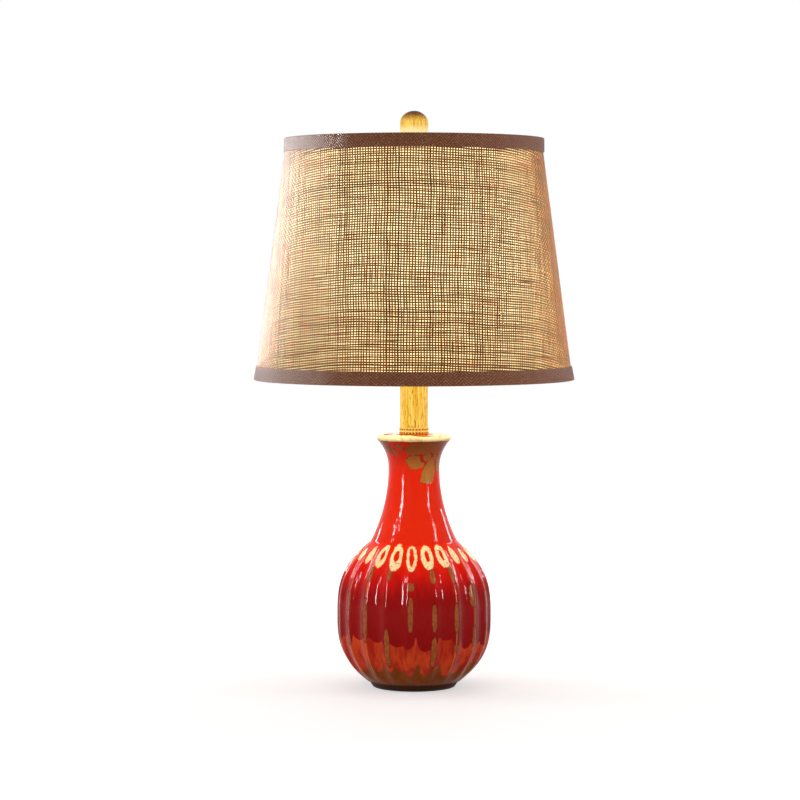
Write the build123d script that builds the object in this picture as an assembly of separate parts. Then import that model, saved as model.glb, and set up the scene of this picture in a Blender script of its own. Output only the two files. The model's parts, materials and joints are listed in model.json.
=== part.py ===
from build123d import *
import os
from math import cos, hypot, radians, sin, sqrt

# Table lamp with a fluted ceramic body, a gold column and a tapered fabric shade.
# Millimetres. The origin is the middle of the felt's underside, +Z is up and the front faces -Y.

# Ceramic body, from the felt upwards
felt_thickness = 1.5
felt_radius = 39.0
foot_radius = 39.8
foot_top_radius = 42.6
foot_height = 4.5
foot_rounding = 1.6
belly_bottom_radius = 44.3
belly_radius = 72.3
belly_lower_length = 63.0
belly_lower_power = 3.0
belly_upper_length = 67.6
belly_upper_power = 2.8
shoulder_radius = 40.8
throat_radius = 24.0
neck_flank_length = 69.0
lip_radius = 34.4
neck_flare_length = 26.2
lip_thickness = 3.4
lip_land = 4.0
crown_rise = 2.2
body_wall = 6.5
crown_thickness = 8.0

# Ribs of the belly
rib_count = 20
rib_half_angle = 3.4
flute_depth = 3.0
rib_shoulder_share = 0.4
rib_start_length = 13.0
rib_end_length = 16.0

# Recess under the body and the notch for the cord
recess_mouth_radius = 33.0
recess_top_radius = 45.0
recess_depth = 20.0
floor_thickness = 5.0
notch_width = 9.0
notch_height = 8.0
bushing_wall = 1.2
bushing_length = 13.0
bushing_setback = 31.0
bushing_clearance = 0.1

# Threaded pipe and what clamps the body to it
pipe_radius = 5.0
pipe_bore_radius = 3.5
pipe_drop = 1.5
pipe_clearance = 0.4
thread_clearance = 0.05
base_washer_radius = 18.0
base_washer_thickness = 2.0
lock_washer_radius = 9.0
lock_washer_thickness = 1.2
lock_washer_slot = 2.0
base_nut_width = 16.0
base_nut_thickness = 4.0

# Column
column_radius = 13.2
column_wall = 2.0
column_length = 52.0
collar_radius = 14.0
collar_height = 6.2
collar_pocket = 2.0
column_cap_thickness = 2.5
column_spigot = 3.0
slip_clearance = 0.1

# Harp and its saddle
saddle_thickness = 2.0
saddle_width = 12.0
saddle_height = 14.0
saddle_bend = 1.5
tongue_width = 5.0
tongue_height = 7.0
harp_height = 203.0
harp_foot_spread = 30.0
harp_waist_spread = 60.0
harp_top_spread = 44.0
harp_leg_length = 31.0
harp_waist_rise = 57.0
harp_wire_radius = 1.9
harp_leg_bend = 50.0
harp_waist_bend = 100.0
harp_top_bend = 38.0
ferrule_length = 13.0
ferrule_wall = 1.1
ferrule_clearance = 0.6
stud_seat_radius = 8.5
stud_radius = 3.1
stud_length = 13.0
wire_cover = 2.2

# Lamp holder, sized outwards from the bulb's cap
bulb_cap_radius = 13.05
bulb_thread_clearance = 0.35
screw_shell_wall = 0.5
screw_shell_length = 26.0
shell_fit = 0.3
sleeve_wall = 0.8
sleeve_fit = 0.2
socket_shell_wall = 0.8
socket_cap_fit = 0.1
socket_cap_wall = 1.0
socket_cap_height = 16.0
socket_cap_hub_radius = 8.0
socket_cap_hub_height = 6.0
socket_cap_flare = 9.0
socket_lap = 4.0
socket_body_gap = 2.0
socket_body_radius = 12.0
socket_body_length = 20.0
socket_lip = 2.0
centre_contact_radius = 4.0
centre_contact_height = 2.0
contact_hole_radius = 7.0
terminal_head_radius = 3.0
terminal_head_height = 1.4
terminal_shank_radius = 1.5
terminal_shank_length = 5.0
terminal_rise = 5.0
terminal_fit = 0.05

# Turn switch
switch_rise = 13.5
switch_shaft_radius = 1.9
switch_shaft_depth = 6.0
switch_shaft_clearance = 0.08
switch_hole_clearance = 0.9
switch_knob_radius = 6.5
switch_knob_length = 14.0
switch_knob_gap = 1.9
switch_knob_socket = 7.0
switch_knob_flutes = 12
switch_flute_radius = 0.9

# Bulb
bulb_length = 110.0
bulb_radius = 30.0
bulb_glass = 1.0
bulb_tip_radius = 4.5
bulb_tip_height = 1.6
bulb_insulator_height = 4.4
bulb_insulator_bottom_radius = 5.5
bulb_insulator_top_radius = 11.0
bulb_cap_length = 22.0
bulb_cap_wall = 0.5
bulb_neck_radius = 14.2
bulb_neck_seat = 6.0
bulb_fit = 0.06

# Shade
shade_height = 224.5
shade_top_radius = 118.4
shade_bottom_radius = 147.9
fabric_thickness = 0.9
liner_thickness = 0.5
bond_gap = 0.1
trim_height = 12.8
trim_thickness = 1.2
top_trim_roll = 1.6
bottom_trim_roll = 0.8
trim_rounding = 1.1
ring_wire_radius = 1.75
fitter_drop = 11.8
fitter_washer_radius = 11.0
fitter_washer_thickness = 2.0
fitter_hole_clearance = 0.4
fitter_arm_radius = 1.5
fitter_arm_count = 3
fitter_arm_start = 90.0

# Finial
finial_radius = 13.2
finial_straight = 26.2
finial_dome = 11.4
finial_edge = 1.0
bush_flange_radius = 8.0
bush_flange_thickness = 1.2
bush_radius = 5.2
bush_height = 17.0
bush_bore_depth = 14.5
bush_bore_clearance = 0.09
bush_knob_clearance = 0.06

# Heights that follow from the lengths above
foot_z = felt_thickness
foot_top_z = foot_z + foot_height
belly_z = foot_top_z + belly_lower_length
shoulder_z = belly_z + belly_upper_length
throat_z = shoulder_z + neck_flank_length
lip_z = throat_z + neck_flare_length
lip_top_z = lip_z + lip_thickness
crown_z = lip_top_z + crown_rise
recess_z = foot_z + recess_depth
floor_z = recess_z + floor_thickness
base_washer_z = recess_z - base_washer_thickness
lock_washer_z = base_washer_z - lock_washer_thickness
base_nut_z = lock_washer_z - base_nut_thickness
pipe_z = base_nut_z - pipe_drop
collar_top_z = crown_z + collar_height
column_z = collar_top_z - collar_pocket
column_top_z = column_z + column_length
saddle_z = column_top_z + column_cap_thickness
saddle_top_z = saddle_z + saddle_thickness
tongue_z = saddle_z + saddle_height
harp_z = tongue_z + tongue_height
seat_z = saddle_z + harp_height
harp_top_z = seat_z - wire_cover - harp_wire_radius
socket_z = saddle_top_z
pipe_top_z = socket_z + socket_cap_hub_height
socket_body_z = pipe_top_z + socket_body_gap
socket_body_top_z = socket_body_z + socket_body_length
socket_shell_z = socket_z + socket_cap_height - socket_lap
bulb_z = socket_body_top_z + centre_contact_height
bulb_insulator_z = bulb_z + bulb_tip_height
bulb_cap_z = bulb_insulator_z + bulb_insulator_height
bulb_cap_top_z = bulb_cap_z + bulb_cap_length
bulb_top_z = bulb_z + bulb_length
screw_shell_top_z = socket_body_top_z + screw_shell_length
socket_top_z = screw_shell_top_z + socket_lip
switch_z = socket_body_z + switch_rise
fitter_z = seat_z
fitter_top_z = fitter_z + fitter_washer_thickness
shade_top_z = fitter_top_z + fitter_drop
shade_bottom_z = shade_top_z - shade_height
finial_z = fitter_top_z

# Radii that follow from the sizes above
screw_shell_inner = bulb_cap_radius + bulb_thread_clearance
screw_shell_outer = screw_shell_inner + screw_shell_wall
sleeve_inner = screw_shell_outer + shell_fit
sleeve_outer = sleeve_inner + sleeve_wall
socket_shell_inner = sleeve_outer + sleeve_fit
socket_shell_outer = socket_shell_inner + socket_shell_wall
socket_cap_inner = socket_shell_outer + socket_cap_fit
socket_cap_outer = socket_cap_inner + socket_cap_wall
ferrule_inner = max(harp_wire_radius, hypot(tongue_width, saddle_thickness) / 2) + ferrule_clearance
switch_knob_start = socket_cap_outer + switch_knob_gap


def tube(outer, inner, low, high):
    """Upright tube between two heights."""
    height = high - low
    walls = Cylinder(outer, height) - Cylinder(inner, height)
    return Pos(0, 0, (low + high) / 2) * walls


def disc(radius, low, high):
    """Upright solid disc between two heights."""
    return Pos(0, 0, (low + high) / 2) * Cylinder(radius, high - low)


def turned(*outline):
    """Solid turned about Z from a closed outline of (radius, height) corners."""
    corners = [(radius, 0, height) for radius, height in outline]
    return revolve(make_face(Polyline(*corners, close=True)), Axis.Z)


def turned_edges(*edges):
    """Solid turned about Z from the edges of a closed outline in the XZ plane."""
    return revolve(make_face(edges), Axis.Z)


def spot(radius, height):
    """Point of a turned outline."""
    return (radius, 0, height)


def lying(radius, start, stop, height):
    """Rod along Y at a height over the axis, between two places on Y."""
    rod = Rot(90, 0, 0) * Cylinder(radius, abs(stop - start))
    return Pos(0, (start + stop) / 2, height) * rod


def between(first, second, radius):
    """Straight rod between two points."""
    line = Line(first, second)
    return sweep(Plane(origin=first, z_dir=line % 0) * Circle(radius), line)


# Ceramic body


def belly_at(height):
    """Radius over the ribs of the belly at a height."""
    if height < belly_z:
        share = (belly_z - height) / belly_lower_length
        end, power = belly_bottom_radius, belly_lower_power
    else:
        share = (height - belly_z) / belly_upper_length
        end, power = shoulder_radius, belly_upper_power
    return end + (belly_radius - end) * (1 - share ** power)


def eased(share):
    """Smooth step from 0 to 1."""
    share = min(max(share, 0.0), 1.0)
    return share * share * (3 - 2 * share)


def flute_at(height):
    """Depth of the flutes at a height, none at the shoulder and the foot."""
    start = eased((shoulder_z - height) / rib_start_length)
    end = eased((height - foot_top_z) / rib_end_length)
    return flute_depth * start * end


def ribbed_section(height):
    """Cross-section of the belly: a convex arc over each rib and a hollow arc along each flute."""
    crest = belly_at(height)
    depth = flute_at(height)
    edge = crest - rib_shoulder_share * depth
    pitch = 360 / rib_count

    def at(radius, angle):
        return (radius * cos(radians(angle)), radius * sin(radians(angle)), height)

    arcs = []
    for number in range(rib_count):
        middle = number * pitch
        left = middle - rib_half_angle
        right = middle + rib_half_angle
        arcs.append(ThreePointArc(at(edge, left), at(crest, middle), at(edge, right)))
        flute = middle + pitch / 2
        arcs.append(ThreePointArc(at(edge, right), at(crest - depth, flute), at(edge, left + pitch)))
    return make_face(arcs)


def neck_arcs(inset, top):
    """Flank and flare of the neck up to a height, moved in by an inset."""

    def flank(height):
        reach = (neck_flank_length ** 2 + (shoulder_radius - throat_radius) ** 2)
        bend = reach / (2 * (shoulder_radius - throat_radius))
        return throat_radius + bend - sqrt(bend ** 2 - (throat_z - height) ** 2)

    def flare(height):
        reach = (neck_flare_length ** 2 + (lip_radius - throat_radius) ** 2)
        bend = reach / (2 * (lip_radius - throat_radius))
        return throat_radius + bend - sqrt(bend ** 2 - (height - throat_z) ** 2)

    flank_middle = (shoulder_z + throat_z) / 2
    flare_middle = (throat_z + top) / 2
    waist = spot(throat_radius - inset, throat_z)
    return [
        ThreePointArc(
            spot(shoulder_radius - inset, shoulder_z), spot(flank(flank_middle) - inset, flank_middle), waist
        ),
        ThreePointArc(waist, spot(flare(flare_middle) - inset, flare_middle), spot(flare(top) - inset, top)),
    ]


def belly_side(low, high, inset):
    """Smooth side of the belly between two heights, moved in by an inset."""
    steps = 8
    heights = [low + (high - low) * step / steps for step in range(steps + 1)]
    return Spline(*[spot(belly_at(height) - inset, height) for height in heights])


def make_vase():
    lower_shares = [1.0, 0.94, 0.86, 0.75, 0.6, 0.4, 0.2]
    upper_shares = [0.0, 0.2, 0.4, 0.55, 0.68, 0.78, 0.86, 0.92, 0.97, 1.0]
    heights = [belly_z - belly_lower_length * share for share in lower_shares]
    heights += [belly_z + belly_upper_length * share for share in upper_shares]
    belly = loft([ribbed_section(height) for height in heights])

    foot = Pos(0, 0, (foot_z + foot_top_z) / 2) * Cone(foot_radius, foot_top_radius, foot_height)
    foot = fillet(foot.edges().group_by(Axis.Z)[0], foot_rounding)

    sides = neck_arcs(0, lip_z)
    lip = TangentArc(sides[1] @ 1, spot(lip_radius - lip_land, lip_top_z), tangent=sides[1] % 1)
    crown = Polyline(
        lip @ 1,
        spot(collar_radius, crown_z),
        spot(0, crown_z),
        spot(0, shoulder_z),
        spot(shoulder_radius, shoulder_z),
    )
    neck = turned_edges(*sides, lip, crown)
    body = belly + neck + foot

    ceiling_z = crown_z - crown_thickness
    walls = [belly_side(floor_z, belly_z, body_wall), belly_side(belly_z, shoulder_z, body_wall)]
    walls += neck_arcs(body_wall, ceiling_z)
    closing = Polyline(walls[-1] @ 1, spot(0, ceiling_z), spot(0, floor_z), walls[0] @ 0)
    body -= turned_edges(*walls, closing)

    body -= turned(
        (0, foot_z - 1),
        (recess_mouth_radius, foot_z - 1),
        (recess_mouth_radius, foot_z),
        (recess_top_radius, recess_z),
        (0, recess_z),
    )
    body -= disc(pipe_radius + pipe_clearance, recess_z - 1, crown_z + 1)
    return body - arch(notch_width, notch_height, recess_mouth_radius - 2, belly_radius)


def arch(width, height, start, stop):
    """Round-topped passage that stands on the felt, between two places on Y."""
    half = width / 2
    round_z = foot_z + height - half
    top = ThreePointArc((-half, start, round_z), (0, start, foot_z + height), (half, start, round_z))
    sides = Polyline(top @ 1, (half, start, foot_z), (-half, start, foot_z), top @ 0)
    return extrude(make_face([top, sides]), amount=stop - start, dir=(0, 1, 0))


def make_cord_bushing():
    stop = bushing_setback + bushing_length
    outer = arch(notch_width - 2 * bushing_clearance, notch_height - bushing_clearance, bushing_setback, stop)
    inset = 2 * (bushing_clearance + bushing_wall)
    inner_height = notch_height - bushing_clearance - bushing_wall
    return outer - arch(notch_width - inset, inner_height, bushing_setback - 1, stop + 1)


def make_lock_washer():
    ring = tube(lock_washer_radius, pipe_radius + pipe_clearance, lock_washer_z, base_washer_z)
    slot = Pos(lock_washer_radius, 0, (lock_washer_z + base_washer_z) / 2)
    return ring - slot * Box(2 * lock_washer_radius, lock_washer_slot, 2 * lock_washer_thickness)


def make_base_nut():
    corner_radius = base_nut_width / 2 / cos(radians(30))
    nut = extrude(Pos(0, 0, base_nut_z) * RegularPolygon(corner_radius, 6), base_nut_thickness)
    return nut - disc(pipe_radius + thread_clearance, base_nut_z - 1, lock_washer_z + 1)


# Column


def make_column_collar():
    ring = tube(collar_radius, pipe_radius + pipe_clearance, crown_z, collar_top_z)
    return ring - disc(column_radius + slip_clearance, column_z, collar_top_z + 1)


def make_column_cap():
    lid = tube(column_radius, pipe_radius + pipe_clearance, column_top_z, saddle_z)
    spigot_radius = column_radius - column_wall - slip_clearance
    return lid + tube(spigot_radius, pipe_radius + pipe_clearance, column_top_z - column_spigot, column_top_z)


# Harp


def make_harp_saddle():
    length = 2 * harp_foot_spread + saddle_thickness
    strap = Pos(0, 0, saddle_z + saddle_thickness / 2) * Box(length, saddle_width, saddle_thickness)
    for side in (-1, 1):
        arm = Box(saddle_thickness, saddle_width, saddle_height)
        strap += Pos(side * harp_foot_spread, 0, saddle_z + saddle_height / 2) * arm
        tongue = Box(saddle_thickness, tongue_width, tongue_height)
        strap += Pos(side * harp_foot_spread, 0, tongue_z + tongue_height / 2) * tongue
    outer_bends = strap.edges().filter_by(Axis.Y).group_by(Axis.Z)[0]
    strap = fillet(outer_bends, saddle_bend)
    return strap - disc(pipe_radius + pipe_clearance, saddle_z - 1, saddle_top_z + 1)


def make_harp():
    leg_z = harp_z + harp_leg_length
    waist_z = leg_z + harp_waist_rise
    half = [
        (-harp_foot_spread, 0, harp_z),
        (-harp_foot_spread, 0, leg_z),
        (-harp_waist_spread, 0, waist_z),
        (-harp_top_spread, 0, harp_top_z),
    ]
    corners = half + [(-x, y, z) for x, y, z in reversed(half)]
    bends = [harp_leg_bend, harp_waist_bend, harp_top_bend]
    path = FilletPolyline(*corners, radius=bends + bends[::-1])
    return sweep(Plane(origin=path @ 0, z_dir=path % 0) * Circle(harp_wire_radius), path)


def make_harp_stud(harp):
    seat = disc(stud_seat_radius, harp_top_z, seat_z) - harp
    return seat + disc(stud_radius, seat_z, seat_z + stud_length)


def make_ferrule(side):
    sleeve = tube(ferrule_inner + ferrule_wall, ferrule_inner, tongue_z, tongue_z + ferrule_length)
    return Pos(side * harp_foot_spread, 0, 0) * sleeve


# Lamp holder


def make_socket_cap():
    flare_z = socket_z + socket_cap_flare
    top_z = socket_z + socket_cap_height
    bore = pipe_radius + thread_clearance
    return turned(
        (bore, socket_z),
        (socket_cap_hub_radius + socket_cap_wall, socket_z),
        (socket_cap_outer, flare_z),
        (socket_cap_outer, top_z),
        (socket_cap_inner, top_z),
        (socket_cap_inner, flare_z),
        (socket_cap_hub_radius, socket_z + socket_cap_wall),
        (socket_cap_hub_radius, pipe_top_z),
        (bore, pipe_top_z),
    )


def make_socket_shell():
    shell = tube(socket_shell_outer, socket_shell_inner, socket_shell_z, socket_top_z)
    return shell - lying(switch_shaft_radius + switch_hole_clearance, 0, -2 * socket_shell_outer, switch_z)


def make_insulating_sleeve():
    sleeve = tube(sleeve_outer, sleeve_inner, socket_shell_z, screw_shell_top_z)
    return sleeve - lying(switch_shaft_radius + switch_hole_clearance, 0, -2 * sleeve_outer, switch_z)


def terminal(grow):
    """Terminal screw on the +X side, head outwards, with its shank and head grown by a fit."""
    height = socket_body_z + terminal_rise
    shank = Cylinder(terminal_shank_radius + grow, terminal_shank_length)
    head = Cylinder(terminal_head_radius, terminal_head_height)
    across = Rot(0, 90, 0)
    screw = Pos(socket_body_radius - terminal_shank_length / 2, 0, height) * (across * shank)
    return screw + Pos(socket_body_radius + terminal_head_height / 2, 0, height) * (across * head)


def make_terminal_screws():
    screw = terminal(0)
    return Compound([screw, Rot(0, 0, 180) * screw])


def make_socket_body():
    core = disc(socket_body_radius, socket_body_z, socket_body_top_z)
    core += tube(socket_cap_hub_radius, pipe_radius + pipe_clearance, pipe_top_z, socket_body_z)
    core += tube(sleeve_inner - shell_fit, socket_body_radius - 1, socket_body_top_z - 2, socket_body_top_z)
    hole = terminal(terminal_fit)
    core = core - hole - Rot(0, 0, 180) * hole
    bore_end = -(socket_body_radius - switch_shaft_depth)
    return core - lying(switch_shaft_radius + switch_shaft_clearance, bore_end, -2 * socket_body_radius, switch_z)


def make_screw_shell():
    walls = tube(screw_shell_outer, screw_shell_inner, socket_body_top_z, screw_shell_top_z)
    floor_top = socket_body_top_z + screw_shell_wall
    return walls + tube(screw_shell_outer, contact_hole_radius, socket_body_top_z, floor_top)


def make_switch_shaft():
    start = -(socket_body_radius - switch_shaft_depth)
    return lying(switch_shaft_radius, start, -(switch_knob_start + switch_knob_socket), switch_z)


def make_switch_knob():
    stop = switch_knob_start + switch_knob_length
    knob = lying(switch_knob_radius, -switch_knob_start, -stop, 0)
    knob = fillet(knob.edges().group_by(Axis.Y)[0], switch_flute_radius)
    for number in range(switch_knob_flutes):
        angle = radians(360 / switch_knob_flutes * number)
        flute = lying(switch_flute_radius, -switch_knob_start + 1, -stop - 1, 0)
        knob -= Pos(switch_knob_radius * cos(angle), 0, switch_knob_radius * sin(angle)) * flute
    knob -= lying(switch_shaft_radius, -switch_knob_start + 1, -(switch_knob_start + switch_knob_socket), 0)
    return Pos(0, 0, switch_z) * knob


# Bulb


def bulb_form(inset):
    """Solid inside the bulb's glass: a neck, a cone that touches the globe, and the globe."""
    radius = bulb_radius - inset
    neck = bulb_neck_radius - inset
    middle_z = bulb_top_z - bulb_radius
    step_z = bulb_cap_top_z + inset
    drop = middle_z - step_z
    distance = hypot(neck, drop)
    side = sqrt(distance ** 2 - radius ** 2)
    lean = (neck * radius + drop * side) / distance ** 2
    rise = (drop * radius - neck * side) / distance ** 2
    touch = spot(radius * lean, middle_z - radius * rise)
    seat_radius = bulb_cap_radius - bulb_cap_wall - inset
    seat_bottom = bulb_cap_top_z - bulb_neck_seat
    turn_z = middle_z + radius * sin(radians(45))
    globe = ThreePointArc(touch, spot(radius * cos(radians(45)), turn_z), spot(0, middle_z + radius))
    rest = Polyline(
        globe @ 1,
        spot(0, seat_bottom),
        spot(seat_radius, seat_bottom),
        spot(seat_radius, step_z),
        spot(neck, step_z),
        globe @ 0,
    )
    return turned_edges(globe, rest)


def make_bulb_cap():
    inner = bulb_cap_radius - bulb_cap_wall
    walls = tube(bulb_cap_radius, inner, bulb_cap_z, bulb_cap_top_z)
    shoulder = tube(inner, bulb_insulator_top_radius + bulb_fit, bulb_cap_z, bulb_cap_z + bulb_cap_wall)
    return walls + shoulder


def make_bulb_insulator():
    cone_height = bulb_insulator_height
    cone = Cone(bulb_insulator_bottom_radius, bulb_insulator_top_radius, cone_height)
    plug = disc(bulb_insulator_top_radius, bulb_cap_z, bulb_cap_z + 3 * bulb_cap_wall)
    return Pos(0, 0, bulb_insulator_z + cone_height / 2) * cone + plug


# Shade


def fabric_at(height):
    """Outer radius of the fabric at a height."""
    share = (height - shade_bottom_z) / shade_height
    return shade_bottom_radius + (shade_top_radius - shade_bottom_radius) * share


def cone_layer(outset, thickness, low, high):
    """Conical sheet whose outer face lies an outset from the fabric's outer face."""
    return turned(
        (fabric_at(low) + outset, low),
        (fabric_at(high) + outset, high),
        (fabric_at(high) + outset - thickness, high),
        (fabric_at(low) + outset - thickness, low),
    )


sheet_top_z = shade_top_z - trim_thickness - bond_gap
sheet_bottom_z = shade_bottom_z + trim_thickness + bond_gap
liner_outset = -fabric_thickness - bond_gap
liner_inset = fabric_thickness + bond_gap + liner_thickness
top_ring_z = sheet_top_z - ring_wire_radius
bottom_ring_z = sheet_bottom_z + ring_wire_radius
top_ring_radius = fabric_at(sheet_top_z) - liner_inset - bond_gap - ring_wire_radius
bottom_ring_radius = fabric_at(bottom_ring_z + ring_wire_radius) - liner_inset - bond_gap - ring_wire_radius


def make_top_trim():
    """Ribbon down the outside of the top edge and over the wire ring."""
    low = shade_top_z - trim_height
    inner = top_ring_radius - ring_wire_radius - bond_gap
    under = shade_top_z - trim_thickness
    outer_top = fabric_at(shade_top_z) + bond_gap + trim_thickness + top_trim_roll
    outline = turned(
        (fabric_at(low) + bond_gap, low),
        (fabric_at(low) + bond_gap + trim_thickness, low),
        (outer_top, shade_top_z),
        (inner, shade_top_z),
        (inner, under),
        (fabric_at(under) + bond_gap, under),
    )
    return fillet(outline.edges().group_by(Axis.Z)[-1], trim_rounding / 2)


def make_bottom_trim():
    """Ribbon down the outside of the bottom edge, under the wire ring and up inside it."""
    high = shade_bottom_z + trim_height
    ring_inner = bottom_ring_radius - ring_wire_radius - bond_gap
    over = shade_bottom_z + trim_thickness
    inner_top = bottom_ring_z + ring_wire_radius
    outer_bottom = fabric_at(shade_bottom_z) + bond_gap + trim_thickness + bottom_trim_roll
    outline = turned(
        (fabric_at(high) + bond_gap, high),
        (fabric_at(high) + bond_gap + trim_thickness, high),
        (outer_bottom, shade_bottom_z),
        (ring_inner - trim_thickness, shade_bottom_z),
        (ring_inner - trim_thickness, inner_top),
        (ring_inner, inner_top),
        (ring_inner, over),
        (fabric_at(over) + bond_gap, over),
    )
    return fillet(outline.edges().group_by(Axis.Z)[0], trim_rounding / 2)


def make_ring(radius, height):
    return Pos(0, 0, height) * Torus(radius, ring_wire_radius)


def make_fitter_washer():
    return tube(fitter_washer_radius, stud_radius + fitter_hole_clearance, fitter_z, fitter_top_z)


def make_fitter_arms(washer, ring):
    middle_z = (fitter_z + fitter_top_z) / 2
    arm = between(
        (fitter_washer_radius - fitter_arm_radius / 2, 0, middle_z), (top_ring_radius, 0, top_ring_z), fitter_arm_radius
    )
    arm = arm - washer - ring
    turn = 360 / fitter_arm_count
    return Compound([Rot(0, 0, fitter_arm_start + turn * number) * arm for number in range(fitter_arm_count)])


# Finial


def make_finial_bush():
    bush = disc(bush_flange_radius, finial_z, finial_z + bush_flange_thickness)
    bush += disc(bush_radius, finial_z + bush_flange_thickness, finial_z + bush_height)
    return bush - disc(stud_radius + bush_bore_clearance, finial_z - 1, finial_z + bush_bore_depth)


def make_finial_knob():
    low = finial_z + bush_flange_thickness + bush_knob_clearance
    dome_z = finial_z + finial_straight
    top_z = dome_z + finial_dome
    dome = Spline(spot(finial_radius, dome_z), spot(0, top_z), tangents=(spot(0, 1), spot(-1, 0)))
    rest = Polyline(
        dome @ 1,
        spot(0, low),
        spot(finial_radius - finial_edge, low),
        spot(finial_radius, low + finial_edge),
        dome @ 0,
    )
    knob = turned_edges(dome, rest)
    pocket_top = finial_z + bush_height + bush_knob_clearance
    return knob - disc(bush_radius + bush_knob_clearance, low - 1, pocket_top)


harp = make_harp()
fitter_washer = make_fitter_washer()
top_ring = make_ring(top_ring_radius, top_ring_z)

parts = {
    "vase": make_vase(),
    "felt_pad": disc(felt_radius, 0, felt_thickness),
    "cord_bushing": make_cord_bushing(),
    "base_washer": tube(base_washer_radius, pipe_radius + pipe_clearance, base_washer_z, recess_z),
    "lock_washer": make_lock_washer(),
    "base_nut": make_base_nut(),
    "threaded_pipe": tube(pipe_radius, pipe_bore_radius, pipe_z, pipe_top_z),
    "column_collar": make_column_collar(),
    "column_tube": tube(column_radius, column_radius - column_wall, column_z, column_top_z),
    "column_cap": make_column_cap(),
    "harp_saddle": make_harp_saddle(),
    "harp": harp,
    "harp_stud": make_harp_stud(harp),
    "ferrule_left": make_ferrule(-1),
    "ferrule_right": make_ferrule(1),
    "socket_cap": make_socket_cap(),
    "socket_shell": make_socket_shell(),
    "insulating_sleeve": make_insulating_sleeve(),
    "socket_body": make_socket_body(),
    "screw_shell": make_screw_shell(),
    "centre_contact": disc(centre_contact_radius, socket_body_top_z, bulb_z),
    "terminal_screws": make_terminal_screws(),
    "switch_shaft": make_switch_shaft(),
    "switch_knob": make_switch_knob(),
    "bulb_globe": bulb_form(0) - bulb_form(bulb_glass),
    "bulb_cap": make_bulb_cap(),
    "bulb_insulator": make_bulb_insulator(),
    "bulb_tip": disc(bulb_tip_radius, bulb_z, bulb_insulator_z),
    "shade_liner": cone_layer(liner_outset, liner_thickness, sheet_bottom_z, sheet_top_z),
    "shade_fabric": cone_layer(0, fabric_thickness, sheet_bottom_z, sheet_top_z),
    "top_trim": make_top_trim(),
    "bottom_trim": make_bottom_trim(),
    "top_ring": top_ring,
    "bottom_ring": make_ring(bottom_ring_radius, bottom_ring_z),
    "fitter_washer": fitter_washer,
    "fitter_arms": make_fitter_arms(fitter_washer, top_ring),
    "finial_bush": make_finial_bush(),
    "finial_knob": make_finial_knob(),
}

os.makedirs("parts", exist_ok=True)
for name, shape in parts.items():
    export_step(shape, f"parts/{name}.step")
    print(name, round(shape.volume, 1), len(shape.solids()), shape.is_valid)
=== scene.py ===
# %% [markdown]
# # A lit bedside lamp: red glaze, gold and burlap
# The lamp's solids were drawn and packed before this lesson starts. Here they get their looks.
# A solid whose shape is right keeps its mesh and only gets a finish. The glazed body, the woven
# shade, its edge ribbons, the collar, the finial and the felt are modelled again with finer detail.
# Sizes are in millimetres, as in the drawing, and are turned into metres where they meet Blender.

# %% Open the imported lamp
import json
import math

import bpy
import numpy as np
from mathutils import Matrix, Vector


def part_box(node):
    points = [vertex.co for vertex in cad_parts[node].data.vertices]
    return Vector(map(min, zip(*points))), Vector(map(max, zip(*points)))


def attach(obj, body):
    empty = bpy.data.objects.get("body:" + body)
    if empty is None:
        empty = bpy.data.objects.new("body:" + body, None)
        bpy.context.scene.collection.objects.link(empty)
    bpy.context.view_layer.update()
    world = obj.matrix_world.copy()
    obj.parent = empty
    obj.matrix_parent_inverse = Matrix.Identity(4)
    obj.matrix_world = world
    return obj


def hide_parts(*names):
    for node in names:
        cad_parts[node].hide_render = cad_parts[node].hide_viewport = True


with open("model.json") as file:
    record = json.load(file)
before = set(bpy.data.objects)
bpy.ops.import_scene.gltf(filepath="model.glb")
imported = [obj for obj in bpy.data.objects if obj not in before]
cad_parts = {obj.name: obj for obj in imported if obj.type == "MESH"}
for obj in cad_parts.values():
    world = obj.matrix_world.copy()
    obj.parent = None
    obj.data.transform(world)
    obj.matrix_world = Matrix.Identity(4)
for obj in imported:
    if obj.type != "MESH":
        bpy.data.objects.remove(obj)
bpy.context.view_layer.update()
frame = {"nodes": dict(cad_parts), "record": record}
nodes = frame["nodes"]
MM = 0.001
SAME_POINT = 0.000002
chance = np.random.default_rng(41)

# %% [markdown]
# ## Camera
# The photograph was taken from a little over the middle of the lamp with a long lens, so the two
# rims of the shade are shallow curves. The camera stands 3 degrees to the right of the lamp's
# front, which puts the front rib a little left of the middle, as in the photograph.

# %% Place the camera
CAMERA_DISTANCE = 2.52
CAMERA_HEIGHT = 0.397
CAMERA_TURN = math.radians(3.0)
CAMERA_TILT = math.radians(2.908)
CAMERA_LENS = 121.27
LAMP_RIGHT_OF_MIDDLE = 13.1 * MM

ahead = Vector((-math.sin(CAMERA_TURN), math.cos(CAMERA_TURN), 0))
aside = Vector((math.cos(CAMERA_TURN), math.sin(CAMERA_TURN), 0))
stand = -ahead * CAMERA_DISTANCE - aside * LAMP_RIGHT_OF_MIDDLE + Vector((0, 0, CAMERA_HEIGHT))
bpy.ops.object.camera_add(location=stand, rotation=(math.pi / 2 - CAMERA_TILT, 0, CAMERA_TURN))
camera = bpy.context.active_object
camera.data.lens = CAMERA_LENS
bpy.context.scene.camera = camera
bpy.context.scene.view_settings.view_transform = "Standard"
print("camera at", [round(v, 3) for v in camera.location])

# %% [markdown]
# ## Working by hand, in code
# Operators act on whatever is selected, and opening the model leaves all its solids selected.
# `start_clean` puts that right before a new piece is begun. `move_points` is the sculptor's hand:
# it gives a function every point of a mesh at once, and puts the answers back.


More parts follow.
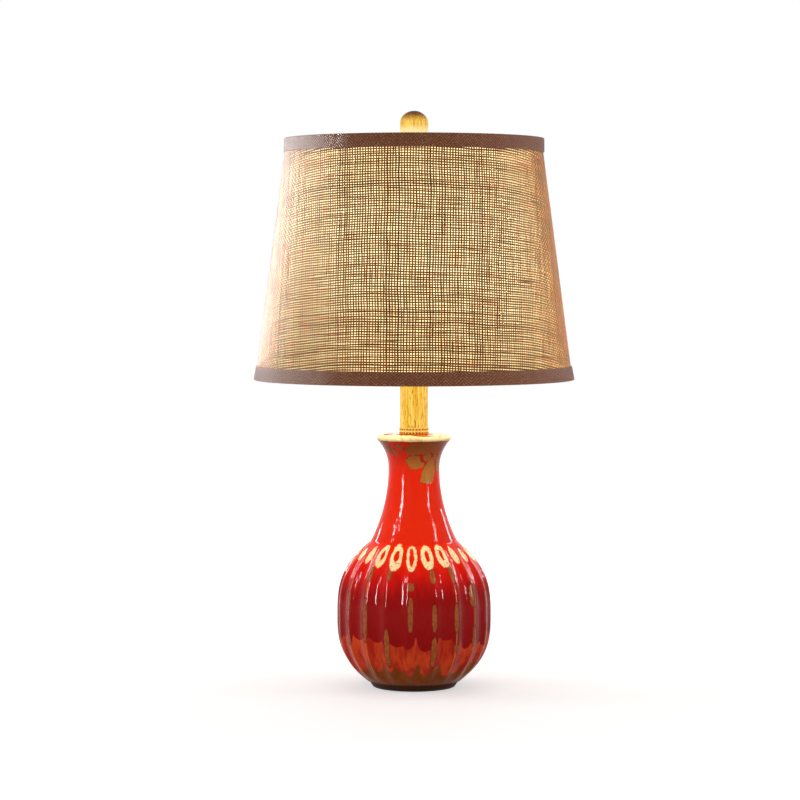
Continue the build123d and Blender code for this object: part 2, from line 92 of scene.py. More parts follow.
# %% Small helpers for modelling
def start_clean():
    """Object mode with nothing selected."""
    if bpy.context.object and bpy.context.object.mode != "OBJECT":
        bpy.ops.object.mode_set(mode="OBJECT")
    bpy.ops.object.select_all(action="DESELECT")


def only(piece):
    """Selects one piece alone and makes it active."""
    start_clean()
    piece.select_set(True)
    bpy.context.view_layer.objects.active = piece


def points_of(piece):
    """All points of a mesh, in millimetres."""
    flat = np.zeros(len(piece.data.vertices) * 3)
    piece.data.vertices.foreach_get("co", flat)
    return flat.reshape(-1, 3) / MM


def move_points(piece, places):
    """Moves all points of a mesh to places in millimetres."""
    piece.data.vertices.foreach_set("co", np.ravel(places) * MM)
    piece.data.update()


def edit_all(piece, *steps):
    """Runs edit-mode steps on a whole piece."""
    only(piece)
    bpy.ops.object.mode_set(mode="EDIT")
    bpy.ops.mesh.select_all(action="SELECT")
    for step in steps:
        step()
    bpy.ops.object.mode_set(mode="OBJECT")


def weld():
    bpy.ops.mesh.remove_doubles(threshold=SAME_POINT)


def face_outwards():
    bpy.ops.mesh.normals_make_consistent(inside=False)


def note(piece, name, values):
    """Stores one number for each point of a mesh, for its material to read."""
    layer = piece.data.attributes.new(name, "FLOAT", "POINT")
    layer.data.foreach_set("value", np.asarray(values, dtype=np.float32))


def smooth(piece, degrees=40):
    only(piece)
    bpy.ops.object.shade_smooth_by_angle(angle=math.radians(degrees))


def settle(piece, body, slot, *stands_for):
    """Says which body a finished piece rides on, and the solids that it stands for. The slot is not used.
    """
    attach(piece, body)
    if stands_for:
        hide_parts(*stands_for)
    print(piece.name, "faces:", len(piece.data.polygons))


# %% [markdown]
# Most of the lamp was turned: the body on a wheel, the collar on a lathe, the ribbons round a ring.
# `turned_shell` does the same. A ring of points is moved to the piece's outline, and the Screw modifier
# carries the outline once round the axis. `rounded` takes the sharp corners off an outline.


# %% Turned pieces
def turned_shell(name, outline, around):
    """Closed shell turned about Z from a closed outline of (radius, height) points in millimetres."""
    start_clean()
    bpy.ops.mesh.primitive_circle_add(vertices=len(outline), radius=1, fill_type="NOTHING")
    piece = bpy.context.active_object
    piece.name = name
    piece.data.name = name
    radius, height = np.array(outline, dtype=float).T
    move_points(piece, np.stack([radius, np.zeros(len(outline)), height], axis=1))
    lathe = piece.modifiers.new("lathe", "SCREW")
    lathe.axis = "Z"
    lathe.angle = 2 * math.pi
    lathe.steps = around
    lathe.render_steps = around
    lathe.use_merge_vertices = True
    lathe.merge_threshold = SAME_POINT
    bpy.ops.object.modifier_apply(modifier=lathe.name)
    edit_all(piece, weld, face_outwards)
    return piece


def arc(centre, radius, start, stop, steps):
    """Points of (radius, height) on an arc between two angles in degrees."""
    turns = np.radians(np.linspace(start, stop, steps))
    return [(centre[0] + radius * math.cos(turn), centre[1] + radius * math.sin(turn)) for turn in turns]


def rounded(corners, radius, steps=5):
    """A closed outline with its corners rounded."""
    outline = []
    count = len(corners)
    for number, corner in enumerate(corners):
        here = np.array(corner, dtype=float)
        back = np.array(corners[number - 1], dtype=float) - here
        onward = np.array(corners[(number + 1) % count], dtype=float) - here
        reach = min(radius, 0.45 * np.linalg.norm(back), 0.45 * np.linalg.norm(onward))
        first = here + back / np.linalg.norm(back) * reach
        last = here + onward / np.linalg.norm(onward) * reach
        for share in np.linspace(0, 1, steps):
            bend = (1 - share) ** 2 * first + 2 * share * (1 - share) * here + share ** 2 * last
            outline.append(tuple(bend))
    return outline


# %% [markdown]
# ## Finishes: building with nodes
# Every finish is a small tree of nodes. `lay_out` puts a tree on the bench, and the other helpers add
# to it. `put` adds a node and fills its sockets, either with a number or with a wire from another
# node. `calc`, `mix` and `mask` are the three that come up most: a sum, a blend of two colours, and
# a soft threshold.

# %% Node helpers
bench = {}


def lay_out(tree):
    """Puts a tree on the bench, where the other helpers add to it."""
    bench["tree"] = tree
    return tree


def tint(red, green, blue):
    """A screen colour from 0 to 255 as the linear colour that a shader takes."""
    shares = [value / 255 for value in (red, green, blue)]
    return tuple(v / 12.92 if v <= 0.04045 else ((v + 0.055) / 1.055) ** 2.4 for v in shares) + (1.0,)


def wire(value, node, socket):
    """A wire from an output to a socket of a node."""
    bench["tree"].links.new(value, node.inputs[socket])


def put(kind, sockets=None, **options):
    """A new node. Its sockets take plain values or wires."""
    node = bench["tree"].nodes.new("ShaderNode" + kind)
    for name, value in options.items():
        setattr(node, name, value)
    for key, value in (sockets or {}).items():
        if isinstance(value, bpy.types.NodeSocket):
            wire(value, node, key)
        else:
            node.inputs[key].default_value = value
    return node


def calc(operation, *values):
    return put("Math", dict(enumerate(values)), operation=operation).outputs[0]


def times(first, second):
    return calc("MULTIPLY", first, second)


def scaled(value, factor, base):
    """A value times a factor, on top of a base."""
    return calc("MULTIPLY_ADD", value, factor, base)


def opposite(share):
    return calc("SUBTRACT", 1.0, share)


def mix(share, first, second):
    return put("Mix", {0: share, 6: first, 7: second}, data_type="RGBA").outputs[2]


def mask(value, low, high):
    """0 under low, 1 over high, smooth between."""
    sockets = {"Value": value, "From Min": low, "From Max": high}
    return put("MapRange", sockets, interpolation_type="SMOOTHSTEP").outputs[0]


def ramp(share, *stops):
    """A colour ramp from (place, colour) stops."""
    node = put("ValToRGB", {0: share})
    for number, (place, colour) in enumerate(stops):
        stop = node.color_ramp.elements[number] if number < 2 else node.color_ramp.elements.new(place)
        stop.position = place
        stop.color = colour
    return node.outputs[0]


def noise(vector, scale, detail):
    return put("TexNoise", {"Vector": vector, "Scale": scale, "Detail": detail}).outputs[0]


def split(vector):
    """The three parts of a vector. Of a place, the last part is its height."""
    return put("SeparateXYZ", {0: vector}).outputs


def length_of(vector):
    return put("VectorMath", {0: vector}, operation="LENGTH").outputs["Value"]


def reading(name):
    """A number that `note` stored on the mesh."""
    return put("Attribute", attribute_name=name).outputs["Fac"]


def bump(shader, height, distance, strength):
    """Bumps a shader by a height from 0 to 1 that stands for a distance in millimetres."""
    sockets = {"Strength": strength, "Distance": distance * MM, "Height": height}
    wire(put("Bump", sockets).outputs[0], shader, "Normal")


def new_finish(name, **plain):
    """A material, its shader and Object coordinates. Plain numbers go on the shader's own sockets."""
    finish = bpy.data.materials.new(name)
    finish.use_nodes = True
    shader = lay_out(finish.node_tree).nodes["Principled BSDF"]
    for key, value in plain.items():
        shader.inputs[key.replace("_", " ")].default_value = value
    return finish, shader, put("TexCoord").outputs["Object"]


def new_group(name, takes, gives):
    """A node group with named inputs and named number outputs. Returns it with its two end nodes."""
    group = lay_out(bpy.data.node_groups.new(name, "ShaderNodeTree"))
    for socket, kind in takes.items():
        group.interface.new_socket(socket, in_out="INPUT", socket_type=kind)
    for socket in gives:
        group.interface.new_socket(socket, in_out="OUTPUT", socket_type="NodeSocketFloat")
    return group, group.nodes.new("NodeGroupInput").outputs, group.nodes.new("NodeGroupOutput")


def use(group, **sockets):
    return put("Group", sockets, node_tree=group).outputs


# %% [markdown]
# Two effects come back on several finishes, so each is a node group. `upright_streaks` is noise
# drawn out along the lamp's height: brush marks in the gold, and runs in the glaze. `small_wear`
# gives a broad patchy mask and a fine grain for everything that was moulded, plated or pressed.

# %% Shared effects
VECTOR, NUMBER = "NodeSocketVector", "NodeSocketFloat"
upright_streaks, given, result = new_group(
    "upright_streaks", {"Place": VECTOR, "Across": NUMBER, "Along": NUMBER}, ["Streak"]
)
rates = (given["Across"], given["Across"], given["Along"])
stretched = [times(part, rate) for part, rate in zip(split(given["Place"]), rates)]
wire(noise(put("CombineXYZ", dict(enumerate(stretched))).outputs[0], 1.0, 3.0), result, "Streak")

small_wear, given, result = new_group("small_wear", {"Place": VECTOR, "Scale": NUMBER}, ["Patch", "Grain"])
wire(mask(noise(given["Place"], given["Scale"], 4.0), 0.35, 0.7), result, "Patch")
wire(noise(given["Place"], times(given["Scale"], 9.0), 2.0), result, "Grain")


def streaked(place, across, along):
    """Upright streaks, with the number of changes in a metre across and along."""
    return use(upright_streaks, Place=place, Across=across, Along=along)["Streak"]


print("groups:", [group.name for group in bpy.data.node_groups])

# %% [markdown]
# ## Glazed body
# The body was thrown, ribbed and dipped in a red glaze that ran. It is thick and crimson low on the
# belly, thin and orange on the neck, and it broke to clay on the crests of the ribs. A turned shell
# has the outline, and the ribs are then pushed in between their crests. The outline repeats the
# drawing's sizes, so the shell lies on the solid.

# %% Sizes of the body
FOOT_Z, FOOT_TOP_Z, BELLY_Z, SHOULDER_Z, THROAT_Z = 1.5, 6.0, 69.0, 136.6, 205.6
LIP_Z, LIP_TOP_Z, CROWN_Z = 231.8, 235.2, 237.4
FOOT_TOP_RADIUS, BELLY_BOTTOM_RADIUS, BELLY_RADIUS = 42.6, 44.3, 72.3
SHOULDER_RADIUS, THROAT_RADIUS, LIP_RADIUS, LIP_LAND, COLLAR_RADIUS = 40.8, 24.0, 34.4, 4.0, 14.0
BELLY_CURVE_BELOW, BELLY_CURVE_ABOVE = 3.0, 2.8
RIBS, RIB_HALF_ANGLE, FLUTE_DEPTH, RIB_SHOULDER = 20, 3.4, 3.0, 0.4
STEPS_PER_RIB, FLUTE_FADE_TOP, FLUTE_FADE_FOOT = 20, 13.0, 16.0
RECESS_MOUTH, RECESS_TOP, RECESS_Z, PIPE_HOLE = 33.0, 45.0, 21.5, 5.4
NOTCH_WIDTH, NOTCH_HEIGHT, NOTCH_LENGTH, NOTCH_START = 9.0, 8.0, 40.0, 18.0
# radius, drop under the crown
CROWN_SLOPE = [(20.0, 0.8), (26.0, 1.6)]
# radius, height
FOOT_EDGE = [(41.4, 4.4), (40.6, 3.0), (40.1, 2.2), (39.4, 1.7), (38.4, FOOT_Z)]


def belly_at(height):
    """Radius over the ribs."""
    below = BELLY_BOTTOM_RADIUS + (BELLY_RADIUS - BELLY_BOTTOM_RADIUS) * (
        1 - np.clip((BELLY_Z - height) / (BELLY_Z - FOOT_TOP_Z), 0, 1) ** BELLY_CURVE_BELOW
    )
    above = SHOULDER_RADIUS + (BELLY_RADIUS - SHOULDER_RADIUS) * (
        1 - np.clip((height - BELLY_Z) / (SHOULDER_Z - BELLY_Z), 0, 1) ** BELLY_CURVE_ABOVE
    )
    return np.where(height < BELLY_Z, below, above)


def neck_at(height, end_z, end_radius):
    """Radius of the neck, on an arc that is upright at the throat and ends at a height and radius."""
    widening = end_radius - THROAT_RADIUS
    bend = ((end_z - THROAT_Z) ** 2 + widening ** 2) / (2 * widening)
    return THROAT_RADIUS + bend - math.sqrt(bend ** 2 - (height - THROAT_Z) ** 2)


def eased(share):
    share = np.clip(share, 0, 1)
    return share * share * (3 - 2 * share)


# %% Outline of the body
slope = math.atan2(LIP_Z - THROAT_Z, LIP_RADIUS - THROAT_RADIUS)
lip_heading = np.array([math.cos(2 * slope - math.pi / 2), math.sin(2 * slope - math.pi / 2)])
lip_inwards = np.array([-lip_heading[1], lip_heading[0]])
lip_span = np.array([-LIP_LAND, LIP_TOP_Z - LIP_Z])
lip_bend = lip_span @ lip_span / (2 * lip_span @ lip_inwards)
lip_centre = np.array([LIP_RADIUS, LIP_Z]) + lip_bend * lip_inwards


def angle_on_lip(radius, height):
    return math.degrees(math.atan2(height - lip_centre[1], radius - lip_centre[0]))


lip_start = angle_on_lip(LIP_RADIUS, LIP_Z)
lip_stop = angle_on_lip(LIP_RADIUS - LIP_LAND, LIP_TOP_Z)
flare_heights = np.linspace(LIP_Z, THROAT_Z, 18)[1:]
neck_heights = np.linspace(THROAT_Z, SHOULDER_Z, 40)[1:-1]

body_outline = [(PIPE_HOLE, CROWN_Z), (COLLAR_RADIUS - 4, CROWN_Z), (COLLAR_RADIUS, CROWN_Z)]
body_outline += [(radius, CROWN_Z - drop) for radius, drop in CROWN_SLOPE]
body_outline += arc(lip_centre, lip_bend, lip_stop, lip_start, 13)
body_outline += [(neck_at(z, LIP_Z, LIP_RADIUS), z) for z in flare_heights]
body_outline += [(neck_at(z, SHOULDER_Z, SHOULDER_RADIUS), z) for z in neck_heights]
body_outline += [(float(belly_at(z)), z) for z in np.linspace(SHOULDER_Z, FOOT_TOP_Z, 102)]
body_outline += [(FOOT_TOP_RADIUS, FOOT_TOP_Z), *FOOT_EDGE]
body_outline += [(RECESS_MOUTH, FOOT_Z), (RECESS_TOP, RECESS_Z), (PIPE_HOLE, RECESS_Z)]

vase = turned_shell("glazed_body", body_outline, STEPS_PER_RIB * RIBS)
print("lip rounding:", round(lip_bend, 2), "mm, rings:", len(body_outline))


# %% Push in the flutes
def rib_offset(places):
    """Each point's turn, its degrees from the nearest rib, and that rib's number from the front."""
    turn = np.degrees(np.arctan2(places[:, 0], -places[:, 1]))
    number = np.rint(turn / (360 / RIBS))
    return turn, turn - number * 360 / RIBS, number.astype(int)


places = points_of(vase)
height = places[:, 2]
outside = np.hypot(places[:, 0], places[:, 1])
on_belly = (height > FOOT_TOP_Z) & (height < SHOULDER_Z) & (outside > belly_at(height) - 0.05)
depth = FLUTE_DEPTH * eased((SHOULDER_Z - height) / FLUTE_FADE_TOP)
depth = depth * eased((height - FOOT_TOP_Z) / FLUTE_FADE_FOOT)
from_crest = np.abs(rib_offset(places)[1])
half_pitch = 180 / RIBS
crest_drop = RIB_SHOULDER * (from_crest / RIB_HALF_ANGLE) ** 2
flute_drop = 1 - (1 - RIB_SHOULDER) * ((half_pitch - from_crest) / (half_pitch - RIB_HALF_ANGLE)) ** 2
drop = depth * np.where(from_crest < RIB_HALF_ANGLE, crest_drop, flute_drop) * on_belly
places[:, :2] *= ((outside - drop) / outside)[:, None]
move_points(vase, places)

# %% Cut the cord's notch at the back
start_clean()
bpy.ops.mesh.primitive_cylinder_add(vertices=48, radius=NOTCH_WIDTH / 2 * MM, depth=NOTCH_LENGTH * MM)
cutter = bpy.context.active_object
arch = points_of(cutter)
arch_top = FOOT_Z + NOTCH_HEIGHT - NOTCH_WIDTH / 2
arch_height = np.where(arch[:, 1] > -0.01, arch[:, 1] + arch_top, FOOT_Z - 2)
move_points(cutter, np.stack([arch[:, 0], arch[:, 2] + RECESS_MOUTH + NOTCH_START, arch_height], axis=1))
edit_all(cutter, face_outwards)
only(vase)
notch = vase.modifiers.new("cord_notch", "BOOLEAN")
notch.object = cutter
notch.solver = "EXACT"
bpy.ops.object.modifier_apply(modifier=notch.name)
bpy.data.objects.remove(cutter)
smooth(vase, 35)
print("body points:", len(vase.data.vertices))

# %% [markdown]
# Where the glaze broke, ran or stopped can't come from noise alone, because the photograph shows
# each place. So every point of the body gets a few numbers that say how deep it lies inside such a
# place, and the finish cuts them off at zero with a ragged edge. Heights are in millimetres and
# ribs are counted from the front one, rightwards.

# %% Where the glaze broke on the ribs
# rib, lowest and highest point, half width
BREAKS = [
    (-3, 76, 96, 1.6), (-3, 43, 55, 1.6), (-2, 49, 90, 2.2), (-2, 104, 117, 2.2), (-1, 26, 63, 2.5),
    (-1, 106, 117, 2.0), (0, 97, 105, 3.2), (0, 59, 92, 2.4), (1, 60, 86, 2.4), (1, 26, 55, 2.6),
    (1, 103, 116, 2.6), (2, 97, 103, 1.4), (2, 58, 86, 2.4), (2, 39, 47, 2.0), (2, 103, 119, 2.4),
    (3, 80, 101, 5.0), (3, 43, 63, 2.4), (4, 62, 94, 2.0), (-4, 46, 78, 2.2),
]
for hidden in range(5, RIBS - 4):
    for low, high in ((28, 62), (58, 92), (90, 118)):
        if chance.random() < 0.7:
            start = chance.uniform(low, high - 12)
            BREAKS.append((hidden, start, start + chance.uniform(9, 28), chance.uniform(1.6, 2.8)))

places = points_of(vase)
turn, off_rib, rib = rib_offset(places)
height = places[:, 2]
outside = np.hypot(places[:, 0], places[:, 1])
across = np.radians(off_rib) * outside
bare = np.full(len(places), -1.0)
for number, low, high, half_width in BREAKS:
    along = (height - (low + high) / 2) / ((high - low) / 2)
    inside = 1 - (across / half_width) ** 2 - along ** 4
    bare = np.where((rib - number) % RIBS == 0, np.maximum(bare, inside), bare)
bare[(height < FOOT_TOP_Z) | (height > SHOULDER_Z)] = -1.0

# %% Where the glaze crawled off the neck
# middle turn, middle height, half length and half width in millimetres, lean in degrees
CRAWLS = [
    (36, 226.5, 24.0, 8.4, 4), (8, 212.5, 10.0, 7.0, 12), (43, 207.0, 17.0, 7.4, 66),
    (30, 216.5, 9.0, 4.5, 20), (70, 214.5, 11.0, 7.5, 75), (-66, 227.5, 14.0, 6.5, -12),
    (-42, 223.5, 6.5, 3.2, -55), (-24, 227.0, 3.6, 2.6, -40), (150, 225.0, 20.0, 8.2, 6),
    (172, 211.0, 14.0, 7.0, 70), (142, 211.0, 10.0, 6.0, 30), (-132, 226.0, 16.0, 7.0, -8),
    (112, 226.5, 10.0, 5.5, 0), (-104, 214.0, 10.0, 4.5, 75),
]
first_crawl = np.full(len(places), -1.0)
second_crawl = np.full(len(places), -1.0)
for middle, middle_z, half_length, half_width, lean in CRAWLS:
    sideways = np.radians((turn - middle + 180) % 360 - 180) * outside
    upwards = height - middle_z
    lean_cos, lean_sin = math.cos(math.radians(lean)), math.sin(math.radians(lean))
    along = sideways * lean_cos + upwards * lean_sin
    athwart = upwards * lean_cos - sideways * lean_sin
    inside = 1 - np.abs(along / half_length) ** 2.6 - np.abs(athwart / half_width) ** 2.6
    second_crawl = np.maximum(second_crawl, np.minimum(first_crawl, inside))
    first_crawl = np.maximum(first_crawl, inside)
off_neck = (height < THROAT_Z - 25) | (height > LIP_Z + 0.6)
crawl = np.where(off_neck, -1.0, first_crawl)
vein = np.clip(first_crawl - second_crawl, 0, 2)


# %% Where the runs of glaze stopped
def runs_end(level, count, shortest, longest, half_turn):
    """Height of the end of the glaze round the body: level, with rounded runs hanging from it."""
    end = np.full(len(places), float(level))
    for number in range(count):
        middle = (number + chance.uniform(-0.35, 0.35)) * 360 / count
        reach = chance.uniform(shortest, longest)
        wide = half_turn * chance.uniform(0.7, 1.3)
        away = (turn - middle + 180) % 360 - 180
        hang = reach * np.sqrt(np.clip(1 - (away / wide) ** 2, 0, 1))
        end = np.minimum(end, level - hang)
    return end


crimson_end = runs_end(54, 40, 1.5, 13, 5.5)
rust_end = runs_end(29, 34, 2.0, 15, 6.0)

# %% Store the places on the body
# Painted reflection: the cream loop high on each rib stands for the lit inside of the shade mirrored in the
# glaze. Each loop is shifted towards the front, and its open middle stands for the dark lamp holder
# mirrored there.
# rib: shift along the body in degrees, half width, half height, middle height, share of the open middle
SHADE_REFLECTION_LOOPS = {
    -4: (5.5, 2.4, 6.0, 126.0, 0.0), -3: (5.0, 3.0, 7.8, 127.0, 0.0), -2: (4.0, 5.2, 10.8, 126.5, 0.28),
    -1: (2.5, 6.0, 11.4, 126.0, 0.34), 0: (0.5, 5.4, 11.8, 125.5, 0.48), 1: (-1.5, 6.0, 11.4, 126.0, 0.32),
    2: (-3.0, 5.4, 11.0, 126.5, 0.26), 3: (-4.5, 3.1, 8.2, 127.0, 0.0), 4: (-5.5, 2.4, 6.5, 126.0, 0.0),
}
for hidden in range(5, RIBS - 4):
    half = chance.uniform(3.2, 5.4)
    shift, loop_z = chance.uniform(-2, 2), chance.uniform(125.5, 127)
    SHADE_REFLECTION_LOOPS[hidden] = (shift, half, 2.1 * half, loop_z, chance.choice([0, 0.35, 0.5]))
loop = np.full(len(places), 3.0)
middle = np.full(len(places), 3.0)
for number, (shift, half_width, half_height, loop_z, opened) in SHADE_REFLECTION_LOOPS.items():
    mine = (rib - number) % RIBS == 0
    sideways = np.radians(off_rib - shift) * outside
    ring = np.hypot(sideways / half_width, (height - loop_z) / half_height)
    loop = np.where(mine, np.minimum(ring, 3), loop)
    if opened:
        open_height = half_height * (opened + 0.15)
        slot = np.hypot(sideways / (half_width * opened), (height - loop_z - 1.2) / open_height)
        middle = np.where(mine, np.minimum(slot, 3), middle)
# The lip and the crown round the collar are pale where the glaze thins, and painted paler still for the
# bulb's light falling on them from above.
crown_side = np.where(outside < lip_centre[0], 0.1, 1.0)
on_lip = 1 - np.hypot((outside - lip_centre[0]) * crown_side, height - lip_centre[1]) / (lip_bend + 0.5)
from_front = np.abs((rib + RIBS // 2) % RIBS - RIBS // 2)
# Crest lines: thin glaze along the rib crests, and a painted highlight on them, kept faint on the three
# front ribs.
crest = np.clip(1 - np.abs(across) / 1.8, 0, 1) * np.where(from_front < 2, 0.3, 1.0)
crest = crest * eased((SHOULDER_Z - 8 - height) / 10) * eased((height - 10) / 10)
# place to the right and to the back of the axis, half length, half width
CROWN_SPOTS = [(13, -20, 12, 5.5), (-17, 16, 15, 7), (4, 25, 9, 5)]
spot = np.full(len(places), -2.0)
for right, back, half_length, half_width in CROWN_SPOTS:
    inside = 1 - np.hypot((places[:, 0] - right) / half_length, (places[:, 1] - back) / half_width)
    spot = np.maximum(spot, np.where(height > LIP_Z - 1.5, inside, -2.0))
lip = np.where(height > LIP_Z - 1.0, on_lip + np.minimum(0.25 * (height - LIP_Z - 0.4), 0.2), -1.0)
stored = {"bare": bare, "crawl": crawl, "vein": vein, "loop": loop, "middle": middle, "lip": lip}
stored.update(crest=crest, spot=spot, crimson=height - crimson_end, rust=height - rust_end)
for name, values in stored.items():
    note(vase, name, values)
settle(vase, "stand", "glaze", "vase")

# %% [markdown]
# The glaze itself is read from the top of the body down: an orange neck, a crimson belly, a rusty
# band where the glaze is thin, bare brown clay, and the dark foot. Over that come the breaks, and a
# cream loop high on each rib, which is a painted reflection of the lit shade. Each threshold is taken
# off a stored number plus a little noise, so the edges are ragged. Glaze is glass, so it is smooth
# and sharp in its reflections, and clay is rough.

# %% Glaze
GLAZE_HEIGHT = 0.24
glaze, shader, place = new_finish("red_glaze", IOR=1.52, Specular_IOR_Level=0.07)
level = split(place)[2]
streak = streaked(place, 160.0, 14.0)
ragged = calc("SUBTRACT", noise(place, 420.0, 3.0), 0.5)
lobed = calc("SUBTRACT", noise(place, 150.0, 3.0), 0.5)
mottle = noise(place, 900.0, 3.0)

run_level = scaled(calc("SUBTRACT", streak, 0.5), 0.03, level)
red = ramp(
    calc("DIVIDE", run_level, GLAZE_HEIGHT),
    (0.0, tint(152, 1, 0)),
    (0.2, tint(156, 0, 0)),
    (0.38, tint(168, 1, 0)),
    (0.45, tint(216, 12, 0)),
    (0.51, tint(230, 30, 0)),
    (0.62, tint(232, 40, 0)),
    (0.84, tint(228, 36, 0)),
    (0.95, tint(200, 34, 4)),
)
crimson_mask = mask(scaled(ragged, 3.0, reading("crimson")), -0.5, 0.5)
thin_red = mix(mask(streak, 0.3, 0.66), tint(180, 26, 4), tint(222, 72, 26))
rust_mask = mask(scaled(ragged, 9.0, reading("rust")), -0.6, 0.6)
clay = mix(streak, tint(112, 42, 2), tint(164, 86, 18))
colour = mix(rust_mask, clay, mix(crimson_mask, thin_red, red))
# A pale orange line along the rib crests: thin glaze, and a painted highlight.
thin_length = mask(noise(place, 40.0, 3.0), 0.36, 0.48)
crest_and_highlight_mask = times(mask(reading("crest"), 0.45, 0.9), thin_length)
colour = mix(times(crest_and_highlight_mask, 0.8), colour, tint(220, 128, 70))


# %% Breaks in the glaze
def edge_of(name, fine, broad):
    """A stored number with fine notches and broad lobes, so that a threshold cuts it raggedly."""
    return scaled(ragged, fine, scaled(lobed, broad, reading(name)))


break_edge = edge_of("bare", 1.1, 0.9)
break_mask = mask(break_edge, 0.0, 0.1)
break_tone = mix(mask(noise(place, 380.0, 4.0), 0.3, 0.7), tint(154, 74, 31), tint(180, 98, 46))
colour = mix(mask(break_edge, -0.22, -0.04), colour, tint(92, 14, 3))
colour = mix(break_mask, colour, break_tone)

crawl_edge = edge_of("crawl", 1.0, 2.2)
vein_width = scaled(lobed, 1.2, 0.34)
open_vein = mask(calc("SUBTRACT", reading("vein"), vein_width), 0.0, 0.06)
crawl_mask = times(mask(crawl_edge, -0.03, 0.06), open_vein)
crawl_tone = mix(mask(level, 0.2, 0.226), tint(190, 122, 48), tint(146, 74, 28))
crawl_tone = mix(times(mottle, 0.5), crawl_tone, tint(120, 66, 26))
colour = mix(times(mask(crawl_edge, -0.14, -0.02), 0.7), colour, tint(140, 22, 6))
colour = mix(crawl_mask, colour, crawl_tone)

# %% Painted reflection loops, lip and foot
# Painted reflection of the lit shade on each rib. It has flecks in it, and its middle is left open for the
# mirrored lamp holder.
open_middle = mask(scaled(lobed, 1.3, reading("middle")), 0.85, 1.15)
painted_reflection_mask = times(opposite(mask(edge_of("loop", 0.2, 0.5), 0.88, 1.0)), open_middle)
painted_reflection_tone = mix(mask(mottle, 0.3, 0.55), tint(236, 188, 120), tint(255, 234, 186))
flecks = mask(streaked(place, 700.0, 160.0), 0.6, 0.68)
colour = mix(painted_reflection_mask, colour, mix(flecks, painted_reflection_tone, tint(196, 96, 40)))

lip_edge = scaled(ragged, 0.35, reading("lip"))
lip_stain = mask(noise(place, 130.0, 4.0), 0.52, 0.66)
# Lip tone: pale clay where the glaze thins, and painted light from the bulb above.
lip_tone = mix(mottle, tint(222, 188, 136), tint(242, 220, 178))
lip_tone = mix(times(lip_stain, 0.5), lip_tone, tint(176, 116, 60))
lip_tone = mix(mask(edge_of("spot", 0.6, 1.4), -0.04, 0.1), lip_tone, tint(214, 84, 30))
colour = mix(mask(lip_edge, -0.12, -0.02), colour, tint(104, 44, 14))
colour = mix(mask(lip_edge, 0.06, 0.12), colour, lip_tone)

foot_mask = opposite(mask(scaled(ragged, 0.004, level), 0.0055, 0.0085))
colour = mix(foot_mask, colour, mix(mottle, tint(48, 20, 5), tint(82, 42, 14)))
wire(colour, shader, "Base Color")

# %% Gloss of the glaze
dull = times(opposite(rust_mask), 0.22)
for bare_place, roughness in ((break_mask, 0.12), (crawl_mask, 0.14), (foot_mask, 0.3)):
    dull = scaled(bare_place, roughness, dull)
wire(scaled(mottle, 0.04, calc("ADD", dull, 0.06)), shader, "Roughness")
glaze_height = scaled(noise(place, 260.0, 2.0), 0.12, noise(place, 85.0, 2.0))
sunk = calc("MAXIMUM", break_mask, crawl_mask)
bump(shader, calc("SUBTRACT", glaze_height, times(sunk, 0.35)), 0.9, 0.6)
vase.data.materials.append(glaze)
print("glaze nodes:", len(glaze.node_tree.nodes))

# %% [markdown]
# ## Woven shade
# The shade's cloth is an open burlap: uneven threads, over one and under one, with gaps that the
# light shines through. A picture of a weave would stay flat at the sides, where the real gaps close
# up. So the threads are modelled. The cloth was cut as a flat sector and rolled into a cone, so the
# threads are straight on the flat cut: one thread is modelled as a strip with a raised middle,
# arrayed across the cut, given its over and under, and then every point is rolled onto the cone.

# %% Sizes of the shade
SHADE_BOTTOM_Z, SHADE_TOP_Z = 288.4, 512.9
SHADE_BOTTOM_RADIUS, SHADE_TOP_RADIUS = 147.9, 118.4
TRIM_HEIGHT, TRIM_THICKNESS, TOP_ROLL, BOTTOM_ROLL, BOND = 12.8, 1.2, 1.6, 0.8, 0.1
WARP_PITCH, WEFT_PITCH = 2.58, 2.25
WARP_WIDTH, WEFT_WIDTH, THREAD_CREST, THREAD_SWING, THREAD_DEPTH = 1.38, 1.32, 0.56, 0.32, 0.7
THREAD_WANDER = 0.16
SEAM_HALF_WIDTH, SEAM_LIFT, SEAM_EDGE_DROP = 5.0, 0.5, 0.55
FLAT_MAP = "OFBake"

shade_rise = SHADE_TOP_Z - SHADE_BOTTOM_Z
slant = math.hypot(shade_rise, SHADE_BOTTOM_RADIUS - SHADE_TOP_RADIUS)
taper_sin = (SHADE_BOTTOM_RADIUS - SHADE_TOP_RADIUS) / slant
taper_cos = shade_rise / slant
cut_top = SHADE_TOP_RADIUS / taper_sin
cut_bottom = SHADE_BOTTOM_RADIUS / taper_sin
cut_half_angle = math.pi * taper_sin
cut_angle = round(2 * math.degrees(cut_half_angle), 1)
print("flat cut: radii", round(cut_top), round(cut_bottom), "mm, angle", cut_angle)


def fabric_at(height):
    """Outer radius of the cloth at a height."""
    share = (height - SHADE_BOTTOM_Z) / shade_rise
    return SHADE_BOTTOM_RADIUS + (SHADE_TOP_RADIUS - SHADE_BOTTOM_RADIUS) * share


def on_cone(along, turn, lift):
    """Points on the cone, from the length down the flat cut, the turn and the lift off the cloth."""
    radius = along * taper_sin + lift * taper_cos
    height = SHADE_TOP_Z - (along - cut_top) * taper_cos + lift * taper_sin
    return np.stack([radius * np.sin(turn), -radius * np.cos(turn), height], axis=1)


def roll_up(sideways, down, lift):
    """Rolls points of the flat cut onto the cone. The cut's straight grain is at the front."""
    return on_cone(np.hypot(sideways, down), np.arctan2(sideways, down) / taper_sin, lift)


